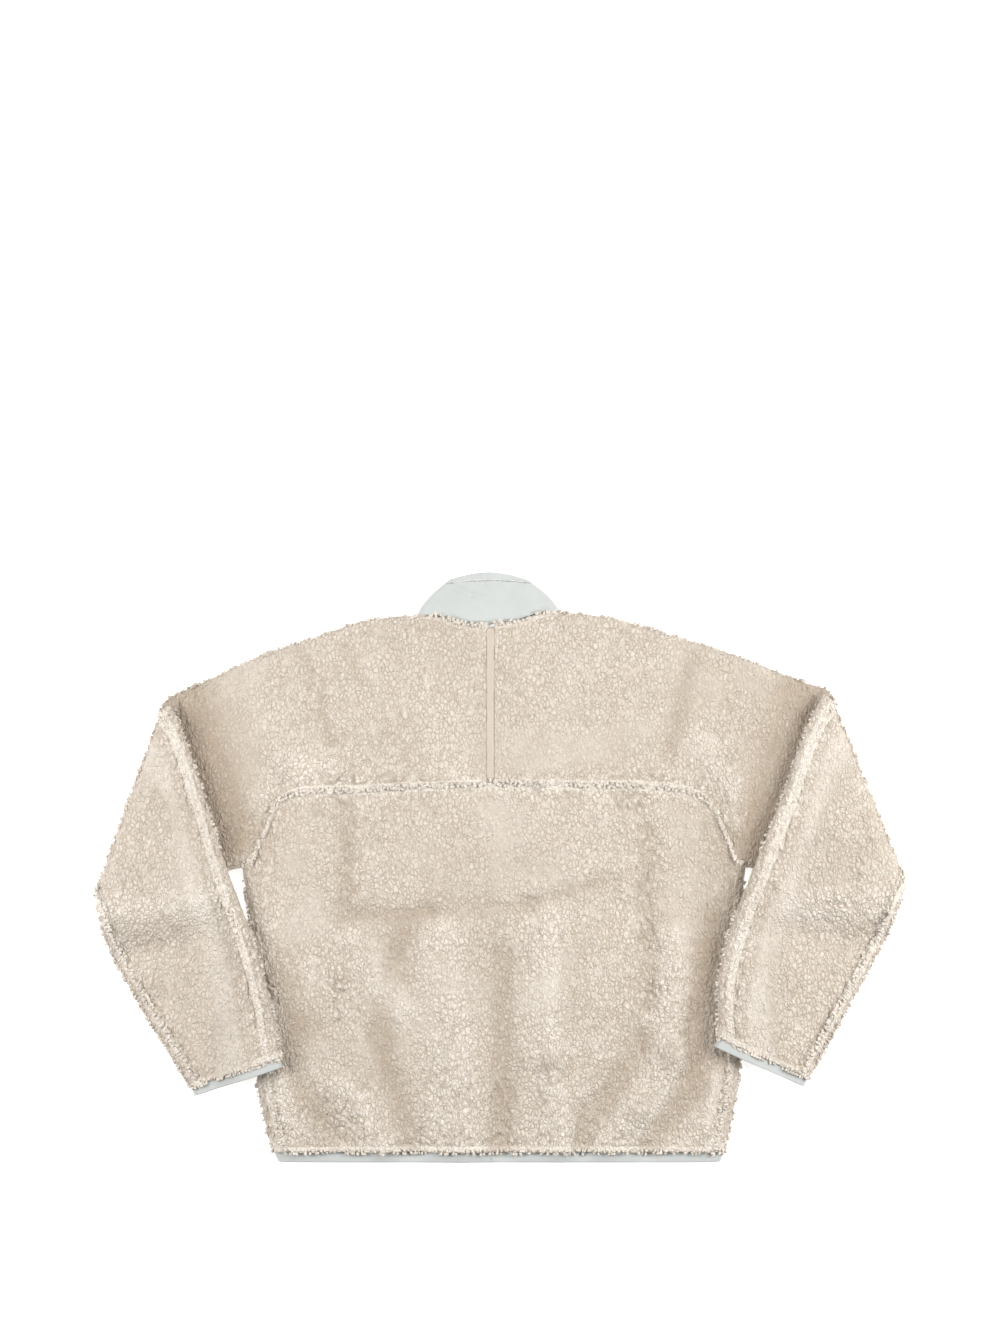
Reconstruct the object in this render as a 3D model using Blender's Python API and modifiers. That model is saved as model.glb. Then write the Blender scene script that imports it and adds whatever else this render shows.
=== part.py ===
# A boucle fleece jacket that lies flat on its front, back up, with both sleeves folded over.
# Lengths below are millimetres; cloth_wall turns them into metres.
# +X is to the right of the seen back, +Y is towards the collar, +Z is up.
import math
import bpy
import bmesh
from mathutils import Vector

MM = 0.001
WALL = 7.0                   # knitted backing and pile together
AIR = 5.5                    # air left between two layers of a flattened tube
EDGE_R = WALL + AIR / 2      # outer radius where the cloth turns round an edge
STACK = 2 * EDGE_R           # two layers and the air between them
SEAM = 0.3                   # gap between sewn pieces
QUARTER = EDGE_R * math.pi / 2

CENTRE_X = -12.0             # centre-back line, a little left of the middle of the outline
STRIP_HALF = 4.6             # half width of the flat strip down the yoke
ZIP_HALF = 4.0               # half width of the slot that the zip chain fills
HEM_Y = -340.8               # lower edge of the fleece
HEM_END_Y = -354.0           # lower edge of the hem binding
OVER_ARM = 24.0              # how far the back cloth reaches over the edge onto the front
FOLD_GAP = 1.0               # inner radius of the folded-over sleeve
FOLD_Z = STACK + FOLD_GAP    # height of the axis that the sleeve turns about
FOLD_MID = FOLD_GAP + STACK / 2

BODY_STEPS = 16
BODY_ROWS = 13
OVER_STEPS = 5
FLAT_STEPS = 5
UNDER_STEPS = 3
FRONT_STEPS = 5

# Side edges of the body: height, then distance of the left and right edge from the origin.
BODY_EDGE = [(-355.0, 266.5, 264.0), (-341.0, 273.0, 268.5), (-311.0, 281.5, 276.5), (-250.0, 293.5, 287.5),
             (-160.0, 296.0, 288.0), (-75.0, 299.5, 289.0), (0.0, 309.0, 293.0), (60.0, 312.0, 296.0)]

# Yoke seam: distance from the origin, height. The last point is the armpit's flat part.
YOKE_SEAM = {-1: [(12.0, 101.0), (95.0, 97.0), (185.0, 92.0), (243.0, 90.0), (267.0, 78.0),
                  (282.0, 44.0), (299.2, 6.0)],
             1: [(-12.0, 101.0), (70.0, 99.0), (180.0, 97.0), (229.0, 90.0), (252.0, 76.0),
                 (268.0, 44.0), (283.2, 6.0)]}

# Shoulder line: distance from the origin, height.
SHOULDER = {-1: [(0.0, 303.0), (100.0, 302.0), (161.0, 296.0), (220.0, 277.0), (277.0, 258.0),
                 (322.0, 239.0), (366.0, 218.0)],
            1: [(-24.0, 305.0), (75.0, 306.0), (142.0, 297.0), (207.0, 278.0), (271.0, 258.0),
                (323.0, 239.0), (362.0, 223.0)]}

# Neck to armpit: share of the way, shoulder distance from the centre line, neck edge on the
# back and on the front, both measured round the shoulder's edge.
NECK_TO_ARM = [(0.00, 0.0, 20.0, -92.0), (0.10, 30.0, 17.2, -88.0), (0.20, 58.0, 9.0, -72.0),
               (0.25, 70.0, 5.0, -60.0), (0.31, 80.0, 2.0, -44.0), (0.37, 88.0, -10.0, -32.0),
               (0.43, 97.0, -OVER_ARM, -OVER_ARM), (1.00, 366.0, -OVER_ARM, -OVER_ARM)]

# Outline of each folded sleeve's outer edge: one of its points, and its direction.
FOLD_LINE = {-1: ((408.7, 182.4), (72.0, -198.0)), 1: ((405.8, 182.4), (80.4, -198.0))}

# Sleeve before folding: distance from the origin and height along the over-arm edge and the underarm edge.
OVER_ARM_EDGE = {-1: [(366.0, 218.0), (430.0, 187.0), (500.0, 145.0), (577.0, 95.0), (632.0, 64.0),
                      (684.0, 32.0), (730.0, -1.0), (776.0, -40.0)],
                 1: [(362.0, 223.0), (430.0, 200.0), (507.0, 163.0), (575.0, 132.0), (618.0, 113.0),
                     (662.0, 93.0), (723.0, 55.0), (772.0, 6.0)]}
UNDERARM_EDGE = {-1: [(309.0, 0.0), (360.0, -12.0), (420.0, -22.0), (475.0, -32.0), (498.0, -46.0),
                      (523.0, -68.0), (598.0, -100.0), (678.0, -127.0), (716.0, -139.0)],
                 1: [(293.0, 0.0), (350.0, -8.0), (410.0, -14.0), (460.0, -17.0), (485.0, -22.0),
                     (512.0, -37.0), (546.0, -53.0), (587.0, -66.0), (663.0, -89.0), (728.0, -108.0)]}

# Rings of the sleeve: how far past the fold line they cross the over-arm and the underarm edge.
# The last ring is at the ends of both edges.
SLEEVE_RINGS = [(-14.0, -92.0), (-9.0, -52.0), (-5.0, -20.0), (0.0, 0.0), (5.4, 5.4), (10.7, 10.7),
                (16.1, 16.1), (21.5, 21.5), (26.8, 26.8), (32.2, 32.2), (44.0, 40.0), (86.0, 66.0),
                (134.0, 97.0), (184.0, 130.0), (236.0, 164.0), (300.0, 300.0)]

# Folds of the back: each starts and ends at a point, with a half width and a height.
BACK_FOLDS = [
    (-187, 110, -262, 125, 18, 3.0), (-262, 125, -292, 80, 16, 3.0), (240, 150, 276, 98, 16, 3.5),
    (276, 98, 284, 52, 14, 3.0), (-187, 110, -187, -60, 12, -3.5), (-169, -58, -85, -54, 10, -3.5),
    (-85, -54, 35, -46, 10, -3.0), (35, -46, 125, -16, 10, -3.5), (176, 44, 176, -160, 12, -3.5),
    (-115, -66, -145, -202, 14, -3.5), (-145, -202, -109, -336, 14, -4.0), (-72, -90, -50, -340, 24, 5.0),
    (2, -105, 2, -340, 14, -4.5), (57, -60, 57, -232, 14, 4.5), (57, -232, 71, -340, 14, 4.5),
    (98, -290, 98, -340, 9, -3.0), (167, -208, 125, -280, 14, -4.0), (125, -280, 98, -330, 12, -3.5),
    (209, -88, 205, -225, 16, 5.0), (205, -225, 167, -292, 16, 5.5), (167, -292, 128, -330, 15, 4.0),
    (255, -60, 230, -202, 14, -4.0), (230, -202, 233, -262, 14, -4.5), (233, -262, 178, -338, 14, -4.5),
    (256, -256, 246, -338, 9, 3.0), (-265, -112, -241, -190, 16, -4.0), (-241, -190, -250, -232, 15, -4.0),
    (-262, -256, -246, -338, 11, 3.0), (-240, -262, -199, -322, 13, -4.0), (-175, -88, -121, -172, 18, 4.0),
    (-187, -262, -145, -338, 13, 4.0), (-240, 256, -203, 150, 10, -2.5), (-190, 263, -164, 217, 8, -2.0),
    (230, 251, 199, 131, 11, -2.5), (-154, 287, -116, 246, 8, -1.5)]
BACK_LOFT = 4.5              # how much the middle of the back stands above its edges
PLATEAU = (-170.0, 165.0, -45.0, 82.0, 1.5)

STRIP_WALL = 3.2

COLLAR_X = -14.5             # middle of the collar
COLLAR_WALL = 2.5
COLLAR_BASE_HALF = 85.0
COLLAR_TOP_HALF = 45.0
COLLAR_TOP_Y = 354.0         # top edge at the middle of the back
COLLAR_TOP_SIDE_Y = 346.5    # top edge at its two ends
COLLAR_FRONT_TOP_Y = 277.0   # top edge at the zip
COLLAR_BASE_R = 8.6          # outer radius of the collar's side folds
COLLAR_TOP_R = 5.5
COLLAR_DOME = 1.5           # how round the collar's outline is
COLLAR_EDGE = 0.87           # share of the collar's height below its turned edge
COLLAR_ROWS = 5
COLLAR_SLOT = 6.0            # half width of the collar's gap at the zip

CUFF_LENGTH = 12.5
TRIM_WALL = 3.0
TRIM_INSET = 1.0             # how far a binding lies below the pile
HEM_STEPS = 22

TAPE_HALF = 14.0
TAPE_WALL = 1.0
CHAIN_HALF = 3.0
CHAIN_DEPTH = 2.4
ZIP_TOP_Y = 262.0
# Zip tape: height on the garment and how far the tape's outer face lies off the floor.
ZIP_RUN = [(-353.4, 3.4), (-349.5, 3.4), (-342.0, 7.4), (223.5, 7.4), (231.0, 2.9), (ZIP_TOP_Y, 2.9)]
SLIDER_SIZE = (9.5, 11.5, 4.2)
SLIDER_BEVEL = 0.8


def smooth(value):
    value = min(max(value, 0.0), 1.0)
    return value * value * (3.0 - 2.0 * value)


def mix(first, second, share):
    return first + (second - first) * share


def read_row(table, key):
    """Columns of a table at a key between two of its rows, on a smooth curve through them."""
    last = len(table) - 1
    at = 0
    while at < last - 1 and key > table[at + 1][0]:
        at += 1
    span = table[at + 1][0] - table[at][0]
    share = min(max((key - table[at][0]) / span, 0.0), 1.0)
    before = table[max(at - 1, 0)]
    after = table[min(at + 2, last)]
    found = []
    for column in range(1, len(table[0])):
        start = table[at][column]
        end = table[at + 1][column]
        into = (end - before[column]) / (table[at + 1][0] - before[0]) * span
        out = (after[column] - start) / (after[0] - table[at][0]) * span
        found.append(start + share * (into + share * (3 * (end - start) - 2 * into - out
                     + share * (2 * (start - end) + into + out))))
    return found


def along_path(points, share):
    """Plan point at a share of the length of a smooth curve through the points."""
    reach = [0.0]
    for first, second in zip(points, points[1:]):
        reach.append(reach[-1] + math.dist(first, second))
    rows = [(length, point[0], point[1]) for length, point in zip(reach, points)]
    return Vector(read_row(rows, share * reach[-1]))


def fold_height(x, y):
    """How far the back's surface stands above its lowest level."""
    centre = smooth((270.0 - abs(x)) / 90.0)
    under_sleeve = smooth((y - 40.0) / 60.0) * smooth((abs(x) - 250.0) / 60.0)
    height = BACK_LOFT * mix(0.25, 1.0, centre) * (1.0 - under_sleeve)
    left, right, low, high, rise = PLATEAU
    inside = min(x - left, right - x, y - low, high - y)
    height += rise * smooth(inside / 20.0)
    for x0, y0, x1, y1, width, rise in BACK_FOLDS:
        run = ((x - x0) * (x1 - x0) + (y - y0) * (y1 - y0)) / ((x1 - x0) ** 2 + (y1 - y0) ** 2)
        past = min(max(run, 0.0), 1.0)
        gap = math.hypot(x - mix(x0, x1, past), y - mix(y0, y1, past))
        height += 0.8 * rise * math.exp(-(gap / width) ** 2)
    height += 1.2 * math.exp(-((y - 110.0) / 9.0) ** 2) * smooth((230.0 - abs(x)) / 30.0)
    return max(height, 0.0)


def side_edge(side, y):
    """Distance of the body's side edge from the origin."""
    left, right = read_row(BODY_EDGE, y)
    return left if side < 0 else right


def body_point(side, y, along, depth):
    """Point of the body tube; along runs from its side edge, inwards over the back or, below 0, the front."""
    face = 1.0 if along >= 0 else -1.0
    bend = min(abs(along), QUARTER) / EDGE_R
    flat = max(abs(along) - QUARTER, 0.0)
    radius = EDGE_R - depth
    out = side_edge(side, y) - EDGE_R + radius * math.cos(bend) - flat
    z = EDGE_R + face * radius * math.sin(bend)
    if face > 0:
        z += fold_height(side * out, y) * smooth(flat / 14.0)
    return Vector((side * out, y, z))


def body_reach(side, y):
    """Length round the body from its side edge to the centre line."""
    return QUARTER + side_edge(side, y) - EDGE_R - side * CENTRE_X


def seam_place(side, share):
    """Height of the yoke seam and its distance round the body from the side edge."""
    turn = 0.93
    if share >= turn:
        y = mix(YOKE_SEAM[side][-1][1], 0.0, (share - turn) / (1.0 - turn))
        return y, QUARTER * (1.0 - share) / (1.0 - turn)
    point = along_path(YOKE_SEAM[side], share / turn)
    return point.y, QUARTER + side_edge(side, point.y) - EDGE_R - point.x


def seam_lip(side, share, lower):
    """Place on one lip of the yoke seam, moved off the seam line square to it."""
    y, along = seam_place(side, share)
    y_before, along_before = seam_place(side, max(share - 0.02, 0.0))
    y_after, along_after = seam_place(side, min(share + 0.02, 1.0))
    run = Vector((y_after - y_before, along_after - along_before)).normalized()
    shift = -SEAM / 2 if lower else SEAM / 2
    return y - shift * run.y, max(along + shift * run.x, 0.001)


def seam_point(side, share, depth, face, lower):
    """Point of the yoke seam's upper or lower lip on the back (face 1) or the front (face -1)."""
    y, along = seam_lip(side, share, lower)
    return body_point(side, y, face * along, depth)


class Fold:
    """The line that a sleeve is folded over along, and the turn of the cloth round it."""

    def __init__(self, side):
        (x, y), (dx, dy) = FOLD_LINE[side]
        self.along = Vector((dx, dy)).normalized()
        self.out = Vector((-self.along.y, self.along.x))
        self.start = Vector((x, y)) - self.out * (FOLD_Z)
        self.side = side

    def past(self, point):
        return (point - self.start).dot(self.out)

    def support(self, point):
        """1 where the folded sleeve lies on the cloth below it, 0 where it lies on the floor."""
        first = Vector(UNDERARM_EDGE[self.side][0])
        last = Vector(UNDERARM_EDGE[self.side][4])
        run = (last - first).normalized()
        below = (point - first).dot(Vector((run.y, -run.x)))
        root = 1.0 - smooth((below - 16.0) / 62.0)
        body = 1.0 - smooth((point.x - side_edge(self.side, max(point.y, -341.0)) - 6.0) / 50.0)
        return 1.0 - (1.0 - root) * (1.0 - body)

    def apply(self, point, height):
        """Place a point of the flat layer, at its height in the layer, after the sleeve is folded."""
        past = self.past(point)
        if past <= 0.0:
            return Vector((self.side * point.x, point.y, height))
        turn = min(past / FOLD_MID, math.pi)
        radius = FOLD_Z - height
        beyond = max(past - math.pi * FOLD_MID, 0.0)
        placed = point + self.out * (radius * math.sin(turn) - past - beyond)
        z = FOLD_Z - radius * math.cos(turn)
        lift = (1.0 - math.cos(turn)) / 2.0
        z -= lift * (1.0 - self.support(placed)) * (2 * FOLD_Z - STACK)
        return Vector((self.side * placed.x, placed.y, z))


FOLDS = {-1: Fold(-1), 1: Fold(1)}


def ring_point(side, top, bottom, closed, along, depth):
    """Point of a flattened ring. along runs round it from its over-arm edge, over the back or, below 0, the front."""
    width = (bottom - top).length
    heading = (bottom - top) / width
    half = 2 * QUARTER + width - 2 * EDGE_R
    if along > half:
        along -= 2 * half
    face = 1.0 if along >= 0 else -1.0
    along = abs(along)
    radius = EDGE_R - depth
    if along < QUARTER:
        bend = along / EDGE_R
        inset = EDGE_R - radius * math.cos(bend)
    elif closed and along > half - QUARTER:
        bend = (half - along) / EDGE_R
        inset = width - EDGE_R + radius * math.cos(bend)
    else:
        bend = math.pi / 2
        inset = EDGE_R + along - QUARTER
    height = EDGE_R + face * radius * math.sin(bend)
    place = top + heading * inset
    if face > 0 and not closed:
        height += fold_height(side * place.x, place.y) * smooth((along - QUARTER) / 14.0)
    return FOLDS[side].apply(place, height)


def path_at_fold(path, fold, past):
    """Point of a sleeve edge that lies a given way past the fold line."""
    low = 0.0
    high = 1.0
    for _ in range(30):
        middle = (low + high) / 2
        if fold.past(along_path(path, middle)) < past:
            low = middle
        else:
            high = middle
    return along_path(path, (low + high) / 2)


def stations(side):
    """Lines across the yoke and sleeve from the centre to the cuff."""
    found = []
    for step in range(BODY_STEPS + 1):
        share = step / BODY_STEPS
        distance, back_edge, front_edge = read_row(NECK_TO_ARM, share)
        x = side * CENTRE_X + distance
        last = SHOULDER[side][-1]
        if share == 1.0:
            x = last[0]
        top = Vector((x, read_row(SHOULDER[side], x)[0]))
        y, along = seam_place(side, share)
        bottom = Vector((side * body_point(side, y, max(along, 0.001), 0.0).x, y))
        if share == 1.0:
            bottom = Vector((side_edge(side, 0.0), SEAM))
        found.append({"top": top, "bottom": bottom, "share": share, "sleeve": 0.0,
                      "back": max(back_edge, -OVER_ARM), "front": min(front_edge, -OVER_ARM)})
    fold = FOLDS[side]
    for step, (over, under) in enumerate(SLEEVE_RINGS):
        found.append({"top": path_at_fold(OVER_ARM_EDGE[side], fold, over),
                      "bottom": path_at_fold(UNDERARM_EDGE[side], fold, under),
                      "share": 1.0, "sleeve": (step + 1) / len(SLEEVE_RINGS),
                      "back": -OVER_ARM, "front": -OVER_ARM})
    return found


def under_reach(sleeve):
    """How far the back cloth reaches round the underarm edge onto the front."""
    return 22.0 * smooth(sleeve / 0.35) * mix(1.0, 0.75, smooth((sleeve - 0.6) / 0.4))


def back_line(side, station, depth):
    """Points of one line of the back yoke and sleeve, from the over-arm seam to the lower edge."""
    top = station["top"]
    bottom = station["bottom"]
    width = (bottom - top).length
    closed = station["share"] == 1.0
    start = station["back"] + SEAM / 2
    places = [mix(start, max(QUARTER, start + 1.0), step / OVER_STEPS) for step in range(OVER_STEPS)]
    first_flat = max(QUARTER, start + 1.0)
    if closed:
        half = 2 * QUARTER + width - 2 * EDGE_R
        last_flat = half - QUARTER
        end = half + under_reach(station["sleeve"]) - SEAM / 2
    else:
        end = QUARTER + width - EDGE_R
        last_flat = end - min(24.0, (end - first_flat) / 3)
    places += [mix(first_flat, last_flat, step / FLAT_STEPS) for step in range(FLAT_STEPS)]
    places += [mix(last_flat, end, step / UNDER_STEPS) for step in range(UNDER_STEPS + 1)]
    line = [ring_point(side, top, bottom, closed, along, depth) for along in places]
    if not closed:
        line[-1] = seam_point(side, station["share"], depth, 1.0, False)
    return line


def front_line(side, station, depth):
    """Points of one line of the front yoke and sleeve, from the over-arm seam to the lower edge."""
    top = station["top"]
    bottom = station["bottom"]
    width = (bottom - top).length
    closed = station["share"] == 1.0
    start = -station["front"] + SEAM / 2
    if closed:
        half = 2 * QUARTER + width - 2 * EDGE_R
        end = half - under_reach(station["sleeve"]) - SEAM / 2
        last_flat = min(half - QUARTER, end - 3.0)
    else:
        end = QUARTER + width - EDGE_R
        last_flat = end - min(24.0, (end - start) / 3)
    places = [mix(start, last_flat, step / FRONT_STEPS) for step in range(FRONT_STEPS)]
    places += [mix(last_flat, end, step / UNDER_STEPS) for step in range(UNDER_STEPS + 1)]
    line = [ring_point(side, top, bottom, closed, -along, depth) for along in places]
    if not closed:
        line[-1] = seam_point(side, station["share"], depth, -1.0, False)
    return line


def rim_order(point):
    return abs(point.x) - 0.4 * point.y + 0.7 * point.z


def cloth_wall(name, outer, inner, material, tube=False):
    """One closed wall between two grids of points, with its rims. A tube's first and last rows are one."""
    mesh = bpy.data.meshes.new(name)
    shape = bmesh.new()
    rows = len(outer)
    columns = len(outer[0])
    layers = []
    for grid in (outer, inner):
        used = grid[:-1] if tube else grid
        layers.append([[shape.verts.new(point * MM) for point in line] for line in used])
    if tube:
        layers = [layer + layer[:1] for layer in layers]
    for row in range(rows - 1):
        for column in range(columns - 1):
            for flip, layer in zip((False, True), layers):
                corners = [layer[row][column], layer[row + 1][column],
                           layer[row + 1][column + 1], layer[row][column + 1]]
                shape.faces.new(reversed(corners) if flip else corners)
    lower_rim = [(row, 0) for row in range(rows)]
    upper_rim = [(row, columns - 1) for row in range(rows)]
    if tube:
        stretches = list(zip(lower_rim, lower_rim[1:])) + list(zip(upper_rim, upper_rim[1:]))
    else:
        rim = [(0, column) for column in range(columns)] + upper_rim[1:]
        rim += [(rows - 1, column) for column in range(columns - 2, -1, -1)] + lower_rim[-2:0:-1]
        stretches = list(zip(rim, rim[1:] + rim[:1]))
    for ends in stretches:
        # Two sewn pieces cut each stretch of their shared rim along the same diagonal.
        near, far = sorted(ends, key=lambda end: rim_order(outer[end[0]][end[1]]))
        outer_near, outer_far = (layers[0][row][column] for row, column in (near, far))
        inner_near, inner_far = (layers[1][row][column] for row, column in (near, far))
        shape.faces.new([outer_near, outer_far, inner_far])
        shape.faces.new([outer_near, inner_far, inner_near])
    bmesh.ops.triangulate(shape, faces=shape.faces)
    bmesh.ops.recalc_face_normals(shape, faces=shape.faces)
    if shape.calc_volume(signed=True) < 0:
        bmesh.ops.reverse_faces(shape, faces=shape.faces)
    shape.to_mesh(mesh)
    shape.free()
    mesh.shade_smooth()
    mesh.set_sharp_from_angle(angle=math.radians(50))
    mesh.materials.append(material)
    made = bpy.data.objects.new(name, mesh)
    JACKET.objects.link(made)
    return made


def finish(name, colour, roughness):
    """A plain material for one kind of cloth or metal."""
    material = bpy.data.materials.new(name)
    material.use_nodes = True
    shader = material.node_tree.nodes["Principled BSDF"]
    shader.inputs["Base Color"].default_value = (*colour, 1.0)
    shader.inputs["Roughness"].default_value = roughness
    return material


def side_name(side):
    return "left" if side < 0 else "right"


def make_yoke_sleeves(side, fleece):
    """Back and front halves of one yoke and sleeve, each cut in one."""
    lines = stations(side)
    for name, half_line, centre in (("back", back_line, STRIP_HALF), ("front", front_line, ZIP_HALF)):
        outer = [half_line(side, station, 0.0) for station in lines]
        inner = [half_line(side, station, WALL) for station in lines]
        for grid in (outer, inner):
            for point in grid[0]:
                point.x = CENTRE_X + side * (centre + SEAM)
        cloth_wall(f"yoke_sleeve_{name}_{side_name(side)}", outer, inner, fleece)


def side_seam(share):
    """How far round the side edge the fronts reach onto the back, from the armpit to the hem."""
    return 20.0 * smooth(share / 0.7)


def half_back(side, depth):
    """Columns of one half of the lower back, from the centre to the side seam."""
    columns = []
    for step in range(BODY_STEPS + 1):
        share = step / BODY_STEPS
        top_y, top_along = seam_lip(side, share, True)
        line = []
        for row in range(BODY_ROWS + 1):
            down = row / BODY_ROWS
            y = mix(top_y, HEM_Y, down)
            reach = body_reach(side, y)
            seam = side_seam(down) + SEAM / 2
            hem_along = mix(body_reach(side, HEM_Y), side_seam(1.0) + SEAM / 2, share)
            part = mix(top_along / body_reach(side, top_y), hem_along / body_reach(side, HEM_Y), down)
            along = max(part * reach, seam)
            if step == BODY_STEPS:
                along = seam
            line.append(body_point(side, y, along, depth))
        columns.append(line)
    return columns


def make_back_panel(fleece):
    grids = []
    for depth in (0.0, WALL):
        left = half_back(-1, depth)
        right = half_back(1, depth)
        grids.append(left[::-1] + right[1:])
    cloth_wall("back_panel", grids[0], grids[1], fleece)


def make_front(side, fleece):
    """One lower front, from the side seam on the back round the side edge to the zip."""
    wrap = 4
    grids = []
    for depth in (0.0, WALL):
        columns = []
        for step in range(wrap + BODY_STEPS + 1):
            share = 1.0 - (step - wrap) / BODY_STEPS if step >= wrap else 1.0
            top_y, top_along = seam_lip(side, share, True)
            line = []
            for row in range(BODY_ROWS + 1):
                down = row / BODY_ROWS
                y = mix(top_y, HEM_Y, down)
                if step < wrap:
                    along = max((side_seam(down) - SEAM / 2) * (1.0 - step / wrap), 0.02 * (wrap - step))
                else:
                    reach = body_reach(side, y)
                    hem_part = 1.0 - share
                    part = mix(top_along / body_reach(side, top_y), hem_part, down)
                    along = -max(part * reach, 0.001)
                line.append(body_point(side, y, along, depth))
            columns.append(line)
        for point in columns[-1]:
            point.x = CENTRE_X + side * (ZIP_HALF + SEAM)
        grids.append(columns)
    cloth_wall(f"front_{side_name(side)}", grids[0], grids[1], fleece)


def make_back_strip(fleece):
    """The flat strip between the two back yokes, as thick as their knitted backing."""
    low = seam_point(1, 0.0, 0.0, 1.0, False).y
    high = read_row(SHOULDER[-1], -CENTRE_X)[0] - (EDGE_R + NECK_TO_ARM[0][2] - QUARTER) - SEAM
    grids = [[], []]
    for x in (-STRIP_HALF, 0.0, STRIP_HALF):
        lines = [[], []]
        for row in range(BODY_ROWS + 1):
            y = mix(low, high, row / BODY_ROWS)
            z = STACK - WALL + fold_height(CENTRE_X, y) * smooth((high - y) / 14.0 + 0.3)
            lines[0].append(Vector((CENTRE_X + x, y, z + STRIP_WALL)))
            lines[1].append(Vector((CENTRE_X + x, y, z)))
        grids[0].append(lines[0])
        grids[1].append(lines[1])
    cloth_wall("back_strip", grids[0], grids[1], fleece)


def collar_base(side, distance, front):
    """Height of the collar's base seam at a distance from the centre line, just off the neck's edge."""
    shoulder = read_row(SHOULDER[side], distance + side * CENTRE_X)[0]
    edges = [(row[1], row[3] if front else row[2]) for row in NECK_TO_ARM[:-1]]
    along = abs(read_row(edges, distance)[0])
    if front:
        inset = (EDGE_R + along - QUARTER) * (1.0 - smooth((distance - 58.0) / 22.0))
    elif along > QUARTER:
        inset = EDGE_R + along - QUARTER
    else:
        inset = EDGE_R * (1.0 - math.cos(along / EDGE_R)) * (1.0 - smooth((distance - 72.0) / 8.0))
    return shoulder + 2 * SEAM - inset


def collar_side(side, up):
    """Side fold of the collar in plan: its distance from the collar's middle and its height on the garment."""
    half = mix(COLLAR_BASE_HALF, COLLAR_TOP_HALF, up ** COLLAR_DOME)
    low = read_row(SHOULDER[side], COLLAR_BASE_HALF)[0] + 2 * SEAM
    return Vector((half, mix(low, COLLAR_TOP_SIDE_Y, up)))


def collar_point(side, turn, up, depth):
    """Point of the collar. turn runs from the middle of the back (0) round the side fold (1 to 2) to the zip (3)."""
    radius = mix(COLLAR_BASE_R, COLLAR_TOP_R, up)
    fold = collar_side(side, up)
    run = (collar_side(side, min(up + 0.03, 1.0)) - collar_side(side, max(up - 0.03, 0.0))).normalized()
    bend = (min(max(turn, 1.0), 2.0) - 1.0) * math.pi
    level = math.cos(bend)
    shrink = radius - (radius - depth) * math.sin(bend)
    x = COLLAR_X + side * (fold.x - shrink * run.y)
    base = COLLAR_BASE_HALF - side * (CENTRE_X - COLLAR_X)
    middle = side * (COLLAR_X - CENTRE_X)
    flat = 0.0
    if turn < 1.0:
        flat = 1.0 - turn
        x = mix(COLLAR_X, x, turn)
    if turn > 2.0:
        flat = turn - 2.0
        middle = COLLAR_SLOT + SEAM
        x = mix(x, CENTRE_X + side * middle, flat)
    distance = max(mix(base, middle, flat), 0.0)
    reach = min(abs(x - COLLAR_X) / fold.x, 1.0)
    heights = []
    for front, top in ((False, COLLAR_TOP_Y), (True, COLLAR_FRONT_TOP_Y)):
        low = collar_base(side, distance, front)
        high = mix(top, COLLAR_TOP_SIDE_Y, reach ** 2)
        heights.append(mix(low, high, up))
    y = mix(heights[1], heights[0], (level + 1.0) / 2.0) + shrink * run.x * (1.0 - flat) * up
    return Vector((x, y, radius + level * (radius - depth)))


def make_collar_part(name, low, high, rows, woven):
    turns = [step / 7 for step in range(7)] + [1.0 + step / 6 for step in range(6)]
    turns += [2.0 + step / 6 for step in range(7)]
    grids = []
    for depth in (0.0, COLLAR_WALL):
        grid = []
        for side, run in ((-1, turns[::-1]), (1, turns[1:])):
            for turn in run:
                ups = [mix(low, high, row / rows) for row in range(rows + 1)]
                grid.append([collar_point(side, turn, up, depth) for up in ups])
        grids.append(grid)
    cloth_wall(name, grids[0], grids[1], woven)


def make_collar(woven):
    """The woven stand collar and its turned and stitched top edge."""
    gap = 2 * SEAM / (COLLAR_TOP_Y - collar_base(1, 0.0, False))
    make_collar_part("collar", 0.0, COLLAR_EDGE - gap, COLLAR_ROWS, woven)
    make_collar_part("collar_binding", COLLAR_EDGE, 1.0, 2, woven)


def make_cuff_binding(side, woven):
    """The binding round a sleeve's end, a flattened ring that carries on from the sleeve."""
    last = stations(side)[-1]
    heading = (last["bottom"] - last["top"]).normalized()
    onward = Vector((-heading.y, heading.x))
    width = (last["bottom"] - last["top"]).length
    half = 2 * QUARTER + width - 2 * EDGE_R
    places = [mix(-QUARTER, QUARTER, step / 6) for step in range(6)]
    places += [mix(QUARTER, half - QUARTER, step / 4) for step in range(4)]
    places += [mix(half - QUARTER, half + QUARTER, step / 6) for step in range(6)]
    places += [mix(half + QUARTER, 2 * half - QUARTER, step / 4) for step in range(5)]
    grids = []
    for depth in (TRIM_INSET, TRIM_INSET + TRIM_WALL):
        grid = []
        for along in places:
            line = []
            for step in range(3):
                shift = onward * mix(SEAM, CUFF_LENGTH, step / 2)
                line.append(ring_point(side, last["top"] + shift, last["bottom"] + shift, True, along, depth))
            grid.append(line)
        grids.append(grid)
    cloth_wall(f"cuff_binding_{side_name(side)}", grids[0], grids[1], woven, tube=True)


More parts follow.
